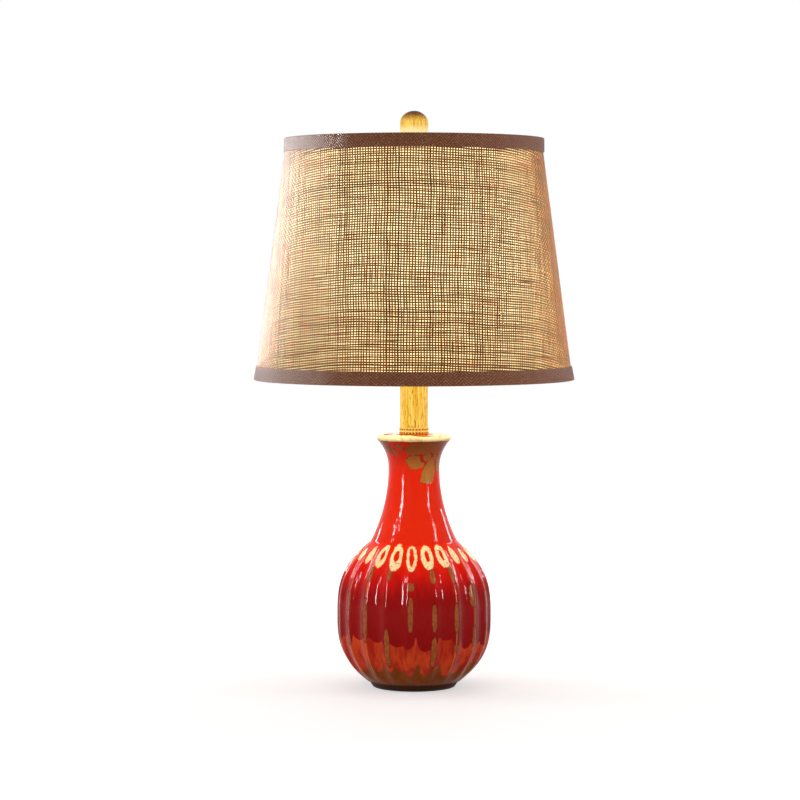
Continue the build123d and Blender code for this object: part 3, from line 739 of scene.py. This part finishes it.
# %% Model a set of threads
def slow_noise(count, length, spread):
    """Smooth random numbers, one row for each thread, that change over about a spread of places."""
    knots = chance.normal(size=(count, length // spread + 3))
    at = np.linspace(0, knots.shape[1] - 1.001, length)
    low = at.astype(int)
    part = eased(at - low)
    return knots[:, low] * (1 - part) + knots[:, low + 1] * part


def thread_set(name, count, steps):
    """One strip of steps by two faces, arrayed. Returns it with each point's thread, step and side."""
    start_clean()
    bpy.ops.mesh.primitive_grid_add(x_subdivisions=steps, y_subdivisions=2, size=1)
    piece = bpy.context.active_object
    piece.name = name
    piece.data.name = name
    strip = points_of(piece) * MM
    array = piece.modifiers.new("threads", "ARRAY")
    array.count = count
    array.relative_offset_displace = (0, 1.5, 0)
    bpy.ops.object.modifier_apply(modifier=array.name)
    step = np.rint((strip[:, 0] + 0.5) * steps).astype(int)
    side = np.rint(strip[:, 1] * 2).astype(int)
    return piece, np.repeat(np.arange(count), len(strip)), np.tile(step, count), np.tile(side, count)


def trim_threads(piece, sideways, down):
    """Takes away what lies outside the cut."""
    along = np.hypot(sideways, down)
    turn = np.abs(np.arctan2(sideways, down))
    hidden = TRIM_HEIGHT * 0.25
    outside = (along < cut_top + hidden) | (along > cut_bottom - hidden) | (turn > cut_half_angle)
    only(piece)
    bpy.ops.object.mode_set(mode="EDIT")
    bpy.ops.mesh.select_all(action="DESELECT")
    bpy.ops.object.mode_set(mode="OBJECT")
    piece.data.vertices.foreach_set("select", outside)
    bpy.ops.object.mode_set(mode="EDIT")
    bpy.ops.mesh.delete(type="VERT")
    bpy.ops.mesh.select_all(action="SELECT")
    bpy.ops.mesh.flip_normals()
    bpy.ops.object.mode_set(mode="OBJECT")


def spin_yarn(count, length):
    """Thickness, tone and rustiness of each thread along its length."""
    thickness = 1 + 0.07 * chance.normal(size=(count, 1)) + 0.08 * slow_noise(count, length, 6)
    tone = 0.57 + 0.08 * chance.normal(size=(count, 1)) + 0.11 * slow_noise(count, length, 5)
    coarse = chance.random((count, 1)) < 0.12
    slub = np.clip(slow_noise(count, length, 9) - 1.25, 0, 1)
    thickness = thickness + 0.16 * coarse + 0.3 * slub
    tone = tone - 0.34 * coarse - 0.45 * slub
    rust = np.clip(0.9 * slow_noise(count, length, 4) - 0.35, 0, 0.9) + 0.4 * slub
    return np.clip(thickness, 0.75, 1.4), np.clip(tone, 0, 1), np.clip(rust, 0, 1)


# %% Weave the cloth
half_width = cut_bottom * math.sin(cut_half_angle)
first_weft = math.floor(cut_top * math.cos(cut_half_angle) / WEFT_PITCH)
weft_count = math.ceil(cut_bottom / WEFT_PITCH) - first_weft + 1
half_warps = math.ceil(half_width / WARP_PITCH)
warp_count = 2 * half_warps + 1


def weave(name, count, steps, width, over_first, pale):
    """A family of threads. Returns the piece and each point's place along and across its thread."""
    piece, thread, step, side = thread_set(name, count, steps)
    thickness, tone, rust = spin_yarn(count, steps + 1)
    over = np.where((thread + step + over_first) % 2 == 0, 1.0, -1.0)
    thick = thickness[thread, step]
    lift = THREAD_SWING * over - THREAD_DEPTH + THREAD_CREST * thick * (side == 0)
    wander = THREAD_WANDER * slow_noise(count, steps + 1, 6)[thread, step]
    note(piece, "tone", np.clip(tone[thread, step] + pale, 0, 1))
    note(piece, "rust", rust[thread, step])
    return piece, thread, step, side * thick * width / 2 + wander, lift


def lay(piece, sideways, down, lift):
    """Pulls a family a little off its grain, rolls it up, keeps its flat places as a map, and trims it."""
    pulled = sideways + 0.35 * np.sin(down / 19 + 0.6) + 0.2 * np.sin(down / 8 + sideways / 45)
    down = down + 0.6 * np.sin(sideways / 33 + 0.4) + 0.3 * np.sin(sideways / 14 + down / 40)
    sideways = pulled
    unrolled = piece.data.uv_layers[0]
    unrolled.name = FLAT_MAP
    flat = np.stack([sideways / (2 * half_width) + 0.5, (cut_bottom - down) / (2 * half_width)], axis=1)
    corner_point = np.zeros(len(piece.data.loops), dtype=np.int32)
    piece.data.loops.foreach_get("vertex_index", corner_point)
    unrolled.data.foreach_set("uv", np.ravel(flat[corner_point]))
    move_points(piece, roll_up(sideways, down, lift))
    trim_threads(piece, sideways, down)
    smooth(piece, 180)


weft, thread, step, across, lift = weave("burlap_weft", weft_count, 2 * half_warps, WEFT_WIDTH, 0, -0.06)
lay(weft, (step - half_warps) * WARP_PITCH, (first_weft + thread) * WEFT_PITCH + across, lift)
warp, thread, step, across, lift = weave("burlap_warp", warp_count, weft_count - 1, WARP_WIDTH, 1, -0.1)
lay(warp, (thread - half_warps) * WARP_PITCH + across, (first_weft + step) * WEFT_PITCH, lift)
settle(weft, "shade", "burlap", "shade_fabric")
settle(warp, "shade", "burlap", "shade_fabric")

# %% [markdown]
# At the back the two ends of the cloth meet under a narrow folded strip of the same burlap. It is a
# grid rolled onto the cone like the threads, with a rounded edge on both sides.

# %% Seam at the back
start_clean()
bpy.ops.mesh.primitive_grid_add(x_subdivisions=8, y_subdivisions=60, size=1)
seam = bpy.context.active_object
seam.name = "shade_seam"
flat = points_of(seam) * MM
seam_down = cut_top + TRIM_HEIGHT * 0.7 + (flat[:, 1] + 0.5) * (slant - TRIM_HEIGHT * 1.4)
seam_lift = SEAM_LIFT - SEAM_EDGE_DROP * np.abs(flat[:, 0] * 2) ** 6
seam_turn = math.pi + flat[:, 0] * 2 * SEAM_HALF_WIDTH / (seam_down * taper_sin)
move_points(seam, on_cone(seam_down, seam_turn, seam_lift))
edit_all(seam, bpy.ops.mesh.flip_normals)
smooth(seam, 180)
settle(seam, "shade", "burlap")

# %% [markdown]
# The yarn is undyed jute. Each thread has its own tone, with darker and rustier lengths where the
# fibre is coarse. Fine twist lines run slantwise round the yarn. A sheen stands for the fuzz of
# fibres, which catches the light where the cloth turns away. A faint warm glow in its Emission Color
# stands for the bulb's light that comes through the yarn itself.

# %% Burlap
thread_twist, given, result = new_group("thread_twist", {"Map": VECTOR, "Turns": NUMBER}, ["Twist"])
apart = split(given["Map"])
slanted = times(calc("ADD", apart[0], apart[1]), given["Turns"])
wire(scaled(calc("SINE", slanted), 0.5, 0.5), result, "Twist")


def burlap_finish(name, woven):
    """Jute yarn. Woven threads have their own tones and a map. The strip at the back takes noise."""
    finish, shader, place = new_finish(
        name, Roughness=0.9, Sheen_Weight=1.0, Sheen_Roughness=0.4, Sheen_Tint=tint(248, 240, 242),
        Specular_IOR_Level=0.2, Emission_Strength=0.38,
    )
    fibres = noise(place, 1400.0, 3.0)
    source = put("UVMap", uv_map=FLAT_MAP).outputs[0] if woven else place
    twist = use(thread_twist, Map=source, Turns=9000.0)["Twist"]
    tone = reading("tone") if woven else noise(place, 300.0, 4.0)
    tone = calc("ADD", tone, times(calc("SUBTRACT", fibres, 0.5), 0.3))
    yarn = ramp(
        tone,
        (0.05, tint(64, 42, 24)),
        (0.45, tint(122, 96, 64)),
        (0.7, tint(150, 122, 86)),
        (1.0, tint(190, 160, 120)),
    )
    if woven:
        yarn = mix(reading("rust"), yarn, tint(168, 68, 30))
    wire(mix(times(twist, 0.25), yarn, tint(80, 54, 30)), shader, "Base Color")
    wire(mix(tone, tint(100, 54, 4), tint(164, 106, 18)), shader, "Emission Color")
    bump(shader, calc("ADD", times(twist, 0.6), fibres), 0.12, 0.6)
    return finish


yarn_finish = burlap_finish("burlap", True)
weft.data.materials.append(yarn_finish)
warp.data.materials.append(yarn_finish)
seam.data.materials.append(burlap_finish("burlap_strip", False))
print("burlap nodes:", len(yarn_finish.node_tree.nodes))

# %% [markdown]
# ## Edge ribbons
# A brown twill ribbon is glued over each edge of the shade and turned in round the wire ring. Each
# is a turned outline with soft corners. The twill's fine chevrons are in the finish: the length round
# the ring and the height make a slanted wave that turns back every few millimetres.

# %% Ribbons
TOP_RING_RADIUS, BOTTOM_RING_RADIUS, RING_WIRE = 115.2, 142.7, 1.75
top_inner = TOP_RING_RADIUS - RING_WIRE - BOND
bottom_inner = BOTTOM_RING_RADIUS - RING_WIRE - BOND
hem_inner = bottom_inner - TRIM_THICKNESS
hem_z = SHADE_BOTTOM_Z + TRIM_THICKNESS + 2 * RING_WIRE


def ribbon_shell(name, node, edge_z, way, roll, inner, hem):
    """A ribbon over one edge of the shade. The way onto the cloth is 1 for up and -1 for down."""
    far_z = edge_z + way * TRIM_HEIGHT
    turn_z = edge_z + way * TRIM_THICKNESS
    corners = [(fabric_at(far_z) + BOND, far_z), (fabric_at(far_z) + BOND + TRIM_THICKNESS, far_z)]
    corners += [(fabric_at(edge_z) + BOND + TRIM_THICKNESS + roll, edge_z), *hem]
    corners += [(inner, turn_z), (fabric_at(turn_z) + BOND, turn_z)]
    ribbon = turned_shell(name, rounded(corners, 1.0), 240)
    smooth(ribbon, 50)
    settle(ribbon, "shade", "trim", node)
    return ribbon


top_hem = [(top_inner, SHADE_TOP_Z)]
top_ribbon = ribbon_shell("top_ribbon", "top_trim", SHADE_TOP_Z, -1, TOP_ROLL, top_inner, top_hem)
bottom_hem = [(hem_inner, SHADE_BOTTOM_Z), (hem_inner, hem_z), (bottom_inner, hem_z)]
bottom_ribbon = ribbon_shell(
    "bottom_ribbon", "bottom_trim", SHADE_BOTTOM_Z, 1, BOTTOM_ROLL, bottom_inner, bottom_hem
)

# %% Twill
CHEVRON, CORD_PITCH, RIBBON_RADIUS = 7.0 * MM, 2.9 * MM, 0.13
twill, shader, place = new_finish(
    "brown_twill", Sheen_Weight=0.5, Sheen_Tint=tint(238, 242, 250), Specular_IOR_Level=0.35
)
apart = split(place)
round_ring = times(calc("ARCTAN2", apart[0], apart[1]), RIBBON_RADIUS)
slanted = calc("ADD", calc("PINGPONG", round_ring, CHEVRON), apart[2])
wave = scaled(calc("SINE", times(slanted, 2 * math.pi / CORD_PITCH)), 0.5, 0.5)
ends = noise(place, 900.0, 2.0)
cord_line = times(mask(wave, 0.45, 0.9), mask(ends, 0.4, 0.7))
ribbon_tone = mix(noise(place, 70.0, 2.0), tint(140, 74, 37), tint(166, 99, 56))
wire(mix(cord_line, ribbon_tone, tint(218, 158, 120)), shader, "Base Color")
cord_gloss = times(mask(wave, 0.35, 0.75), mask(ends, 0.35, 0.6))
wire(scaled(cord_gloss, -0.45, 0.85), shader, "Roughness")
bump(shader, calc("ADD", wave, times(ends, 0.6)), 0.6, 1.0)
for ribbon in (top_ribbon, bottom_ribbon):
    ribbon.data.materials.append(twill)

# %% [markdown]
# ## Gold column, collar and finial
# The column was turned plain and then brushed upwards, so its solid is right as it is. The collar has
# two rows of small pits pressed round it. Each pit is turned in ten steps, and the points at its
# middle are pushed in. The finial is turned again with a smoother dome.

# %% Collar
COLLAR_TOP_Z, PITS, STEPS_PER_PIT, PIT_DEPTH = 243.6, 28, 10, 0.55
BAND, GROOVE, BEAD, SEAT, SEAT_DEPTH = 13.9, 13.62, 13.95, 13.3, 2.0
# middle over the crown, half height
PIT_ROWS = ((1.1, 0.8), (4.45, 0.75))
collar_outline = [(PIPE_HOLE, CROWN_Z), (10.0, CROWN_Z), (13.4, CROWN_Z + 0.05)]
collar_outline += [(BAND, z) for z in np.linspace(CROWN_Z + 0.3, CROWN_Z + 1.9, 6)]
between = [(GROOVE, 2.1), (GROOVE, 2.3), (BEAD, 2.5), (BEAD, 3.1), (GROOVE, 3.3), (GROOVE, 3.5)]
collar_outline += [(radius, CROWN_Z + rise) for radius, rise in between]
collar_outline += [(BAND, z) for z in np.linspace(CROWN_Z + 3.7, CROWN_Z + 5.2, 6)]
collar_outline += [(GROOVE, CROWN_Z + 5.4), (BEAD, CROWN_Z + 5.7), (13.85, COLLAR_TOP_Z - 0.12)]
collar_outline += [(13.6, COLLAR_TOP_Z), (SEAT, COLLAR_TOP_Z), (SEAT, COLLAR_TOP_Z - SEAT_DEPTH)]
collar_outline += [(PIPE_HOLE, COLLAR_TOP_Z - SEAT_DEPTH)]
collar = turned_shell("beaded_collar", collar_outline, STEPS_PER_PIT * PITS)
places = points_of(collar)
turn = np.arctan2(places[:, 1], places[:, 0])
outside = np.hypot(places[:, 0], places[:, 1])
row = places[:, 2] - CROWN_Z
rows = sum(np.clip(1 - ((row - middle) / half_height) ** 2, 0, 1) for middle, half_height in PIT_ROWS)
ripple = 0.5 + 0.5 * np.cos(PITS * turn)
pit = rows * ripple * (outside > SEAT + 0.05)
places[:, :2] *= (1 - PIT_DEPTH * pit / outside)[:, None]
move_points(collar, places)
note(collar, "pit", pit)
# The bead rings are stored for a painted highlight in the gold.
note(collar, "ring", np.maximum(row > 5.5, np.abs(row - 2.8) < 0.45))
smooth(collar, 40)
settle(collar, "stand", "gold", "column_collar")

# %% Brushed gold
COLUMN_SHOWN_TOP = 0.272


def gold_finish(name, pits=False, cap_z=None):
    """Gold paint brushed upwards. It is darker in pits, and browned over cap_z, where hands have been. The
    collar's bead rings get a painted highlight, and the finial is painted pale cream low down, as painted
    light from the bulb below.
    """
    finish, shader, place = new_finish(name, Metallic=0.75, Specular_IOR_Level=0.2)
    level = split(place)[2]
    streaks = streaked(place, 950.0, 24.0)
    scratches = streaked(place, 1500.0, 150.0)
    tone = mix(mask(streaks, 0.34, 0.64), tint(216, 164, 42), tint(250, 214, 108))
    if pits:
        # Painted highlight: the collar's bead rings are paler.
        tone = mix(mask(reading("ring"), 0.3, 0.7), tone, tint(255, 228, 150))
        tone = mix(mask(reading("pit"), 0.3, 0.55), tone, tint(20, 8, 0))
    elif cap_z:
        speckle = calc("SUBTRACT", noise(place, 800.0, 2.0), 0.5)
        level = scaled(speckle, 0.007, level)
        # Painted light: the finial is painted pale cream below cap_z for the bulb's light that falls on it
        # from below.
        tone = mix(mask(level, (cap_z - 15) * MM, (cap_z - 6) * MM), tint(255, 240, 188), tone)
        tone = mix(mask(level, (cap_z - 5) * MM, (cap_z + 3) * MM), tone, tint(150, 84, 20))
        tone = mix(mask(level, (cap_z + 0.5) * MM, (cap_z + 6) * MM), tone, tint(34, 13, 3))
    else:
        lower = scaled(calc("SUBTRACT", COLUMN_SHOWN_TOP, level), 1.6, scratches)
        tone = mix(mask(lower, 0.56, 0.68), tone, tint(140, 88, 12))
    wire(tone, shader, "Base Color")
    wire(scaled(streaks, 0.25, 0.3), shader, "Roughness")
    bump(shader, calc("ADD", streaks, scratches), 0.03 if cap_z else 0.08, 0.6)
    return finish


collar.data.materials.append(gold_finish("gold_collar", pits=True))
gold = gold_finish("brushed_gold")

# %% Finial
FINIAL_RADIUS, DOME_HEIGHT, BROWNED_Z, AXIS_GAP = 13.2, 11.8, 533.0, 0.02
finial_low, finial_high = [corner.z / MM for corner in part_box("finial_knob")]
finial_outline = [(AXIS_GAP, finial_low), (12.2, finial_low)]
finial_outline += [(12.9, finial_low + 0.3), (FINIAL_RADIUS, finial_low + 1.0)]
for slope in np.linspace(0, 1, 16) * math.pi / 2:
    dome_z = finial_high - DOME_HEIGHT * (1 - math.sin(slope))
    finial_outline.append((max(FINIAL_RADIUS * math.cos(slope), AXIS_GAP), dome_z))
finial = turned_shell("finial_dome", finial_outline, 96)
smooth(finial, 50)
settle(finial, "finial", "gold", "finial_knob")
finial.data.materials.append(gold_finish("gold_finial", cap_z=BROWNED_Z))

# %% [markdown]
# ## Felt
# A felt disc keeps the foot from scratching the table. It starts as a turned outline, and its rim is
# made a little uneven, as felt is where a knife went round.

# %% Felt disc
FELT_RADIUS, FELT_RING = 39.0, 30.0
felt_corners = [(radius, 0.0) for radius in (AXIS_GAP, FELT_RING, FELT_RADIUS)]
felt_corners += [(radius, FOOT_Z) for radius in (FELT_RADIUS, FELT_RING, AXIS_GAP)]
felt = turned_shell("felt_disc", rounded(felt_corners, 0.6), 180)
places = points_of(felt)
outside = np.hypot(places[:, 0], places[:, 1])
turn = np.arctan2(places[:, 1], places[:, 0])
uneven = 0.1 * np.sin(23 * turn) + 0.08 * np.sin(51 * turn + 1)
rim = outside > FELT_RADIUS - 1
places[:, :2] *= np.where(rim, 1 + (uneven - 0.2) / np.maximum(outside, 1), 1)[:, None]
move_points(felt, places)
smooth(felt, 50)
settle(felt, "stand", "felt", "felt_pad")

felt_finish, shader, place = new_finish("black_felt", Roughness=0.95, Sheen_Weight=0.4, Sheen_Roughness=0.6)
fibres = noise(place, 1100.0, 5.0)
wear = use(small_wear, Place=place, Scale=60.0)
tone = mix(fibres, tint(34, 31, 28), tint(74, 69, 62))
wire(mix(times(wear["Patch"], 0.3), tone, tint(92, 86, 78)), shader, "Base Color")
bump(shader, fibres, 0.3, 0.8)
felt.data.materials.append(felt_finish)

# %% [markdown]
# ## What is inside
# The lamp holder, harp, bulb and wire frame are seen from above and below. Their solids are right,
# so each gets a finish that fits how it was made. They share `small_wear` with their own values.


# %% Moulded, plated and pressed finishes
def plain_finish(name, dark, light, rough, wear_scale, grain, metallic):
    """Two tones in patches, with roughness and a fine grain from the same wear."""
    finish, shader, place = new_finish(name, Metallic=metallic)
    wear = use(small_wear, Place=place, Scale=wear_scale)
    tone = mix(times(wear["Grain"], 0.35), tint(*light), tint(*dark))
    wire(mix(times(wear["Patch"], 0.5), tone, tint(*dark)), shader, "Base Color")
    wire(scaled(wear["Patch"], 0.12, rough), shader, "Roughness")
    bump(shader, wear["Grain"], grain, 0.5)
    return finish


# slot: name, dark and light tone, roughness, scale of the wear, grain in millimetres, metallic
PLAIN_FINISHES = {
    "brass": ("plated_brass", (176, 128, 58), (222, 180, 98), 0.2, 90.0, 0.02, 1.0),
    "steel": ("zinc_plate", (128, 128, 124), (190, 190, 186), 0.3, 120.0, 0.03, 1.0),
    "card": ("pressed_card", (98, 74, 46), (132, 104, 70), 0.8, 200.0, 0.1, 0.0),
    "phenolic": ("brown_phenolic", (34, 24, 18), (58, 42, 32), 0.35, 140.0, 0.04, 0.0),
    "shell_metal": ("rolled_shell", (160, 156, 146), (206, 202, 192), 0.25, 150.0, 0.03, 1.0),
    "knob_plastic": ("knob_plastic", (24, 21, 18), (44, 39, 34), 0.28, 160.0, 0.03, 0.0),
    "black_glass": ("fused_glass", (16, 16, 18), (34, 34, 38), 0.12, 200.0, 0.02, 0.0),
    "wire": ("white_enamel", (196, 190, 176), (232, 228, 218), 0.35, 110.0, 0.04, 0.0),
    "bushing_plastic": ("bushing_plastic", (28, 25, 22), (52, 47, 42), 0.5, 160.0, 0.05, 0.0),
}
finishes = {slot: plain_finish(*values) for slot, values in PLAIN_FINISHES.items()}
finishes["gold"] = gold

# %% [markdown]
# The lamp is lit. The bulb's frosted glass glows, brightest at its middle. The liner glows on its
# outer face, behind the burlap, where the bulb shines through it. Both glow in their Emission Color.
# The light that the bulb throws on the column, the lip and the finial comes with the studio's lights,
# and on the lip and the finial's foot also as painted light in their colour.

# %% Bulb and liner
BULB_MIDDLE, GLOW_MIDDLE = 0.4, 0.42
finishes["bulb_glass"], shader, place = new_finish("lit_bulb", Roughness=0.4, Emission_Strength=0.75)
from_middle = calc("ABSOLUTE", calc("SUBTRACT", split(place)[2], BULB_MIDDLE))
frost = noise(place, 260.0, 3.0)
glow = mix(mask(from_middle, 0.005, 0.045), tint(255, 232, 180), tint(236, 168, 84))
wire(mix(times(frost, 0.12), glow, tint(255, 224, 170)), shader, "Emission Color")
wire(mix(frost, tint(206, 198, 180), tint(190, 182, 164)), shader, "Base Color")

finishes["liner"], shader, place = new_finish("lit_liner", Roughness=0.6, Emission_Strength=2.0)
level = split(place)[2]
near_bulb = opposite(mask(calc("ABSOLUTE", calc("SUBTRACT", level, GLOW_MIDDLE)), 0.0, 0.16))
cloudy = noise(place, 30.0, 3.0)
glow = mix(near_bulb, tint(238, 206, 146), tint(255, 236, 182))
glow = mix(times(cloudy, 0.3), glow, tint(234, 200, 140))
taper = taper_sin / taper_cos
liner_points = points_of(nodes["shade_liner"])
liner_middle = np.mean(np.hypot(liner_points[:, 0], liner_points[:, 1]) + taper * liner_points[:, 2])
flat_place = put("VectorMath", {0: place, 1: (1, 1, 0)}, operation="MULTIPLY").outputs[0]
cone = scaled(level, taper, length_of(flat_place))
outer_face = mask(cone, (liner_middle - 0.1) * MM, (liner_middle + 0.1) * MM)
wire(mix(outer_face, tint(0, 0, 0), glow), shader, "Emission Color")
wire(mix(cloudy, tint(236, 222, 190), tint(246, 236, 212)), shader, "Base Color")

# %% Put the finishes on the solids
slot_of = {part["node"]: part["material_slot"] for part in frame["record"]["subparts"]}
for name, node in nodes.items():
    if slot_of[name] in finishes:
        node.data.materials.clear()
        node.data.materials.append(finishes[slot_of[name]])
print("solids with a finish:", sum(slot_of[name] in finishes for name in nodes))

# %% [markdown]
# ## Studio
# A white floor runs back to a white surround, and large soft lights stand left, right and over the
# lamp. Some lights fall on a few pieces only: two narrow beams along the sides of the cloth, one that
# the ribbons mirror, and one in front of the body. Slim strips of light only show in the glaze, which
# mirrors them as bright lines along the neck and ribs. Three warm lights stand for the bulb.


# %% Floor
def seen_or_mirrored():
    """1 for what the camera, a mirror or a glass sees, and 0 for the light that falls on things."""
    ray = put("LightPath").outputs
    mirrored = calc("MAXIMUM", ray["Is Glossy Ray"], ray["Is Transmission Ray"])
    return calc("MAXIMUM", ray["Is Camera Ray"], mirrored)


start_clean()
bpy.ops.mesh.primitive_plane_add(size=12, location=(0, 0, -0.0003))
floor = bpy.context.active_object
floor.name = "studio_floor"
paper, shader, place = new_finish("studio_paper", Roughness=0.9, Base_Color=(0.88, 0.88, 0.88, 1))
far_off = mask(length_of(place), 0.25, 0.8)
white_share = times(seen_or_mirrored(), scaled(far_off, 0.48, 0.52))
lift_white = put("Emission", {"Color": (1, 1, 1, 1), "Strength": white_share})
both = put("AddShader", {0: shader.outputs[0], 1: lift_white.outputs[0]})
wire(both.outputs[0], paper.node_tree.nodes["Material Output"], "Surface")
floor.data.materials.append(paper)

# %% Surround
world = bpy.data.worlds.new("studio_surround")
bpy.context.scene.world = world
world.use_nodes = True
lay_out(world.node_tree)
white = put("Background", {"Color": (1, 1, 1, 1), "Strength": 1.0})
fill = put("Background", {"Color": (1, 0.985, 0.96, 1), "Strength": 0.3})
surround = put("MixShader", {0: seen_or_mirrored(), 1: fill.outputs[0], 2: white.outputs[0]})
wire(surround.outputs[0], world.node_tree.nodes["World Output"], "Surface")

# %% Light helpers
WHITE, DAYLIGHT, AMBER = (1, 1, 1), (0.8, 0.92, 1.0), (1.0, 0.62, 0.3)
BULB_TONE, LAMPLIGHT = (1.0, 0.82, 0.55), (1.0, 0.88, 0.62)
LAMP_MIDDLE, BELLY_MIDDLE, RIBBON_LEVEL = (0, 0, 0.35), (0, 0, 0.15), (0, 0, 0.53)
BEAM_AIM, BEAM_RISE, BEAM_REACH, BEAM_WIDTH, BEAM_HEIGHT = (0.147, -0.033, 0.4), 0.1, 1.2, 0.03, 0.24


def lit_group(name, *pieces):
    """A collection of the pieces that a light may fall on."""
    group = bpy.data.collections.new(name)
    for piece in pieces:
        group.objects.link(piece)
    return group


def new_light(kind, name, place, watts, colour):
    """A light that is neither seen nor mirrored."""
    start_clean()
    bpy.ops.object.light_add(type=kind, location=place)
    light = bpy.context.active_object
    light.name = name
    light.data.energy = watts
    light.data.color = colour
    light.visible_glossy = False
    light.visible_camera = False
    return light


def soft_light(name, place, aim, wide, tall, watts, colour=WHITE, spread=180, falls_on=None):
    """A flat light that falls on everything, or on one group of pieces."""
    light = new_light("AREA", name, place, watts, colour)
    light.rotation_euler = (Vector(aim) - Vector(place)).to_track_quat("-Z", "Y").to_euler()
    light.data.shape = "RECTANGLE"
    light.data.size = wide
    light.data.size_y = tall
    light.data.spread = math.radians(spread)
    if falls_on:
        light.light_linking.receiver_collection = falls_on
    return light


def only_mirrored(light):
    """Lets a light show in a gloss and nowhere else."""
    light.visible_glossy = True
    light.visible_diffuse = False


def mirrored_strip(name, turn, rise, reach, wide, tall, radiance):
    """A slim light that only shows as a bright line on the glaze, placed by two angles and a distance."""
    turn, rise = math.radians(turn), math.radians(rise)
    level = reach * math.cos(rise)
    spot = (level * math.sin(turn), -level * math.cos(turn), BELLY_MIDDLE[2] + reach * math.sin(rise))
    watts = math.pi * wide * tall * radiance
    only_mirrored(soft_light(name, spot, BELLY_MIDDLE, wide, tall, watts, falls_on=glazed))


def rim_beam(name, side, turn, watts, colour):
    """A narrow beam that only meets the cloth along one side, -1 for left and 1 for right."""
    turn = math.radians(side * turn)
    rim = Vector((side * BEAM_AIM[0], *BEAM_AIM[1:]))
    start = rim + BEAM_REACH * Vector((math.sin(turn), -math.cos(turn), BEAM_RISE))
    light = soft_light(name, start, rim, BEAM_WIDTH, BEAM_HEIGHT, watts, colour, 5, cloth)
    light.visible_glossy = True


# %% Lights
glazed = lit_group("glazed", vase)
cloth = lit_group("cloth", weft, warp, seam)
ribbons = lit_group("ribbons", top_ribbon, bottom_ribbon)
body = lit_group("body", vase, collar, nodes["column_tube"], finial)
bulb_light = new_light("POINT", "bulb_light", (0, 0, BULB_MIDDLE), 0.4, BULB_TONE)
bulb_light.data.shadow_soft_size = 0.042
soft_light("left_box", (-1.86, 0.3, 0.6), LAMP_MIDDLE, 0.8, 1.0, 9, DAYLIGHT)
rim_beam("left_beam", -1, 112, 0.41, DAYLIGHT)
ribbon_box = soft_light("ribbon_box", (-1.7, 0.8, 0.55), RIBBON_LEVEL, 0.25, 0.25, 4.8, WHITE, 24, ribbons)
only_mirrored(ribbon_box)
soft_light("glow_down", (0, 0, 0.292), (0, 0, 0), 0.22, 0.22, 0.42, LAMPLIGHT, falls_on=body)
soft_light("glow_up", (0, 0, 0.49), (0, 0, 1), 0.16, 0.16, 0.3, LAMPLIGHT, falls_on=body)
soft_light("front_box", (-0.6, -1.75, 0.7), (0, 0, 0.2), 0.9, 0.9, 10, falls_on=body)
soft_light("right_box", (1.8, -0.1, 0.6), LAMP_MIDDLE, 0.6, 0.9, 5.5)
rim_beam("right_beam", 1, 118, 0.11, AMBER)
soft_light("over_box", (0.0, 0.5, 1.9), (0, 0, 0.3), 1.4, 0.9, 8)
# turn and rise in degrees, distance, width and height in metres, radiance
STRIPS = {
    "left_strip": (-48, 15, 1.9, 0.2, 1.0, 125),
    "left_back_strip": (-126, 24, 1.95, 0.12, 0.8, 50),
    "right_strip": (65, 13, 1.9, 0.22, 0.32, 125),
    "right_back_strip": (130, 22, 1.9, 0.12, 0.9, 50),
    "left_window": (-66, 31, 2.0, 0.14, 0.3, 100),
    "right_window": (76, 31, 2.0, 0.14, 0.3, 100),
}
for name, values in STRIPS.items():
    mirrored_strip(name, *values)
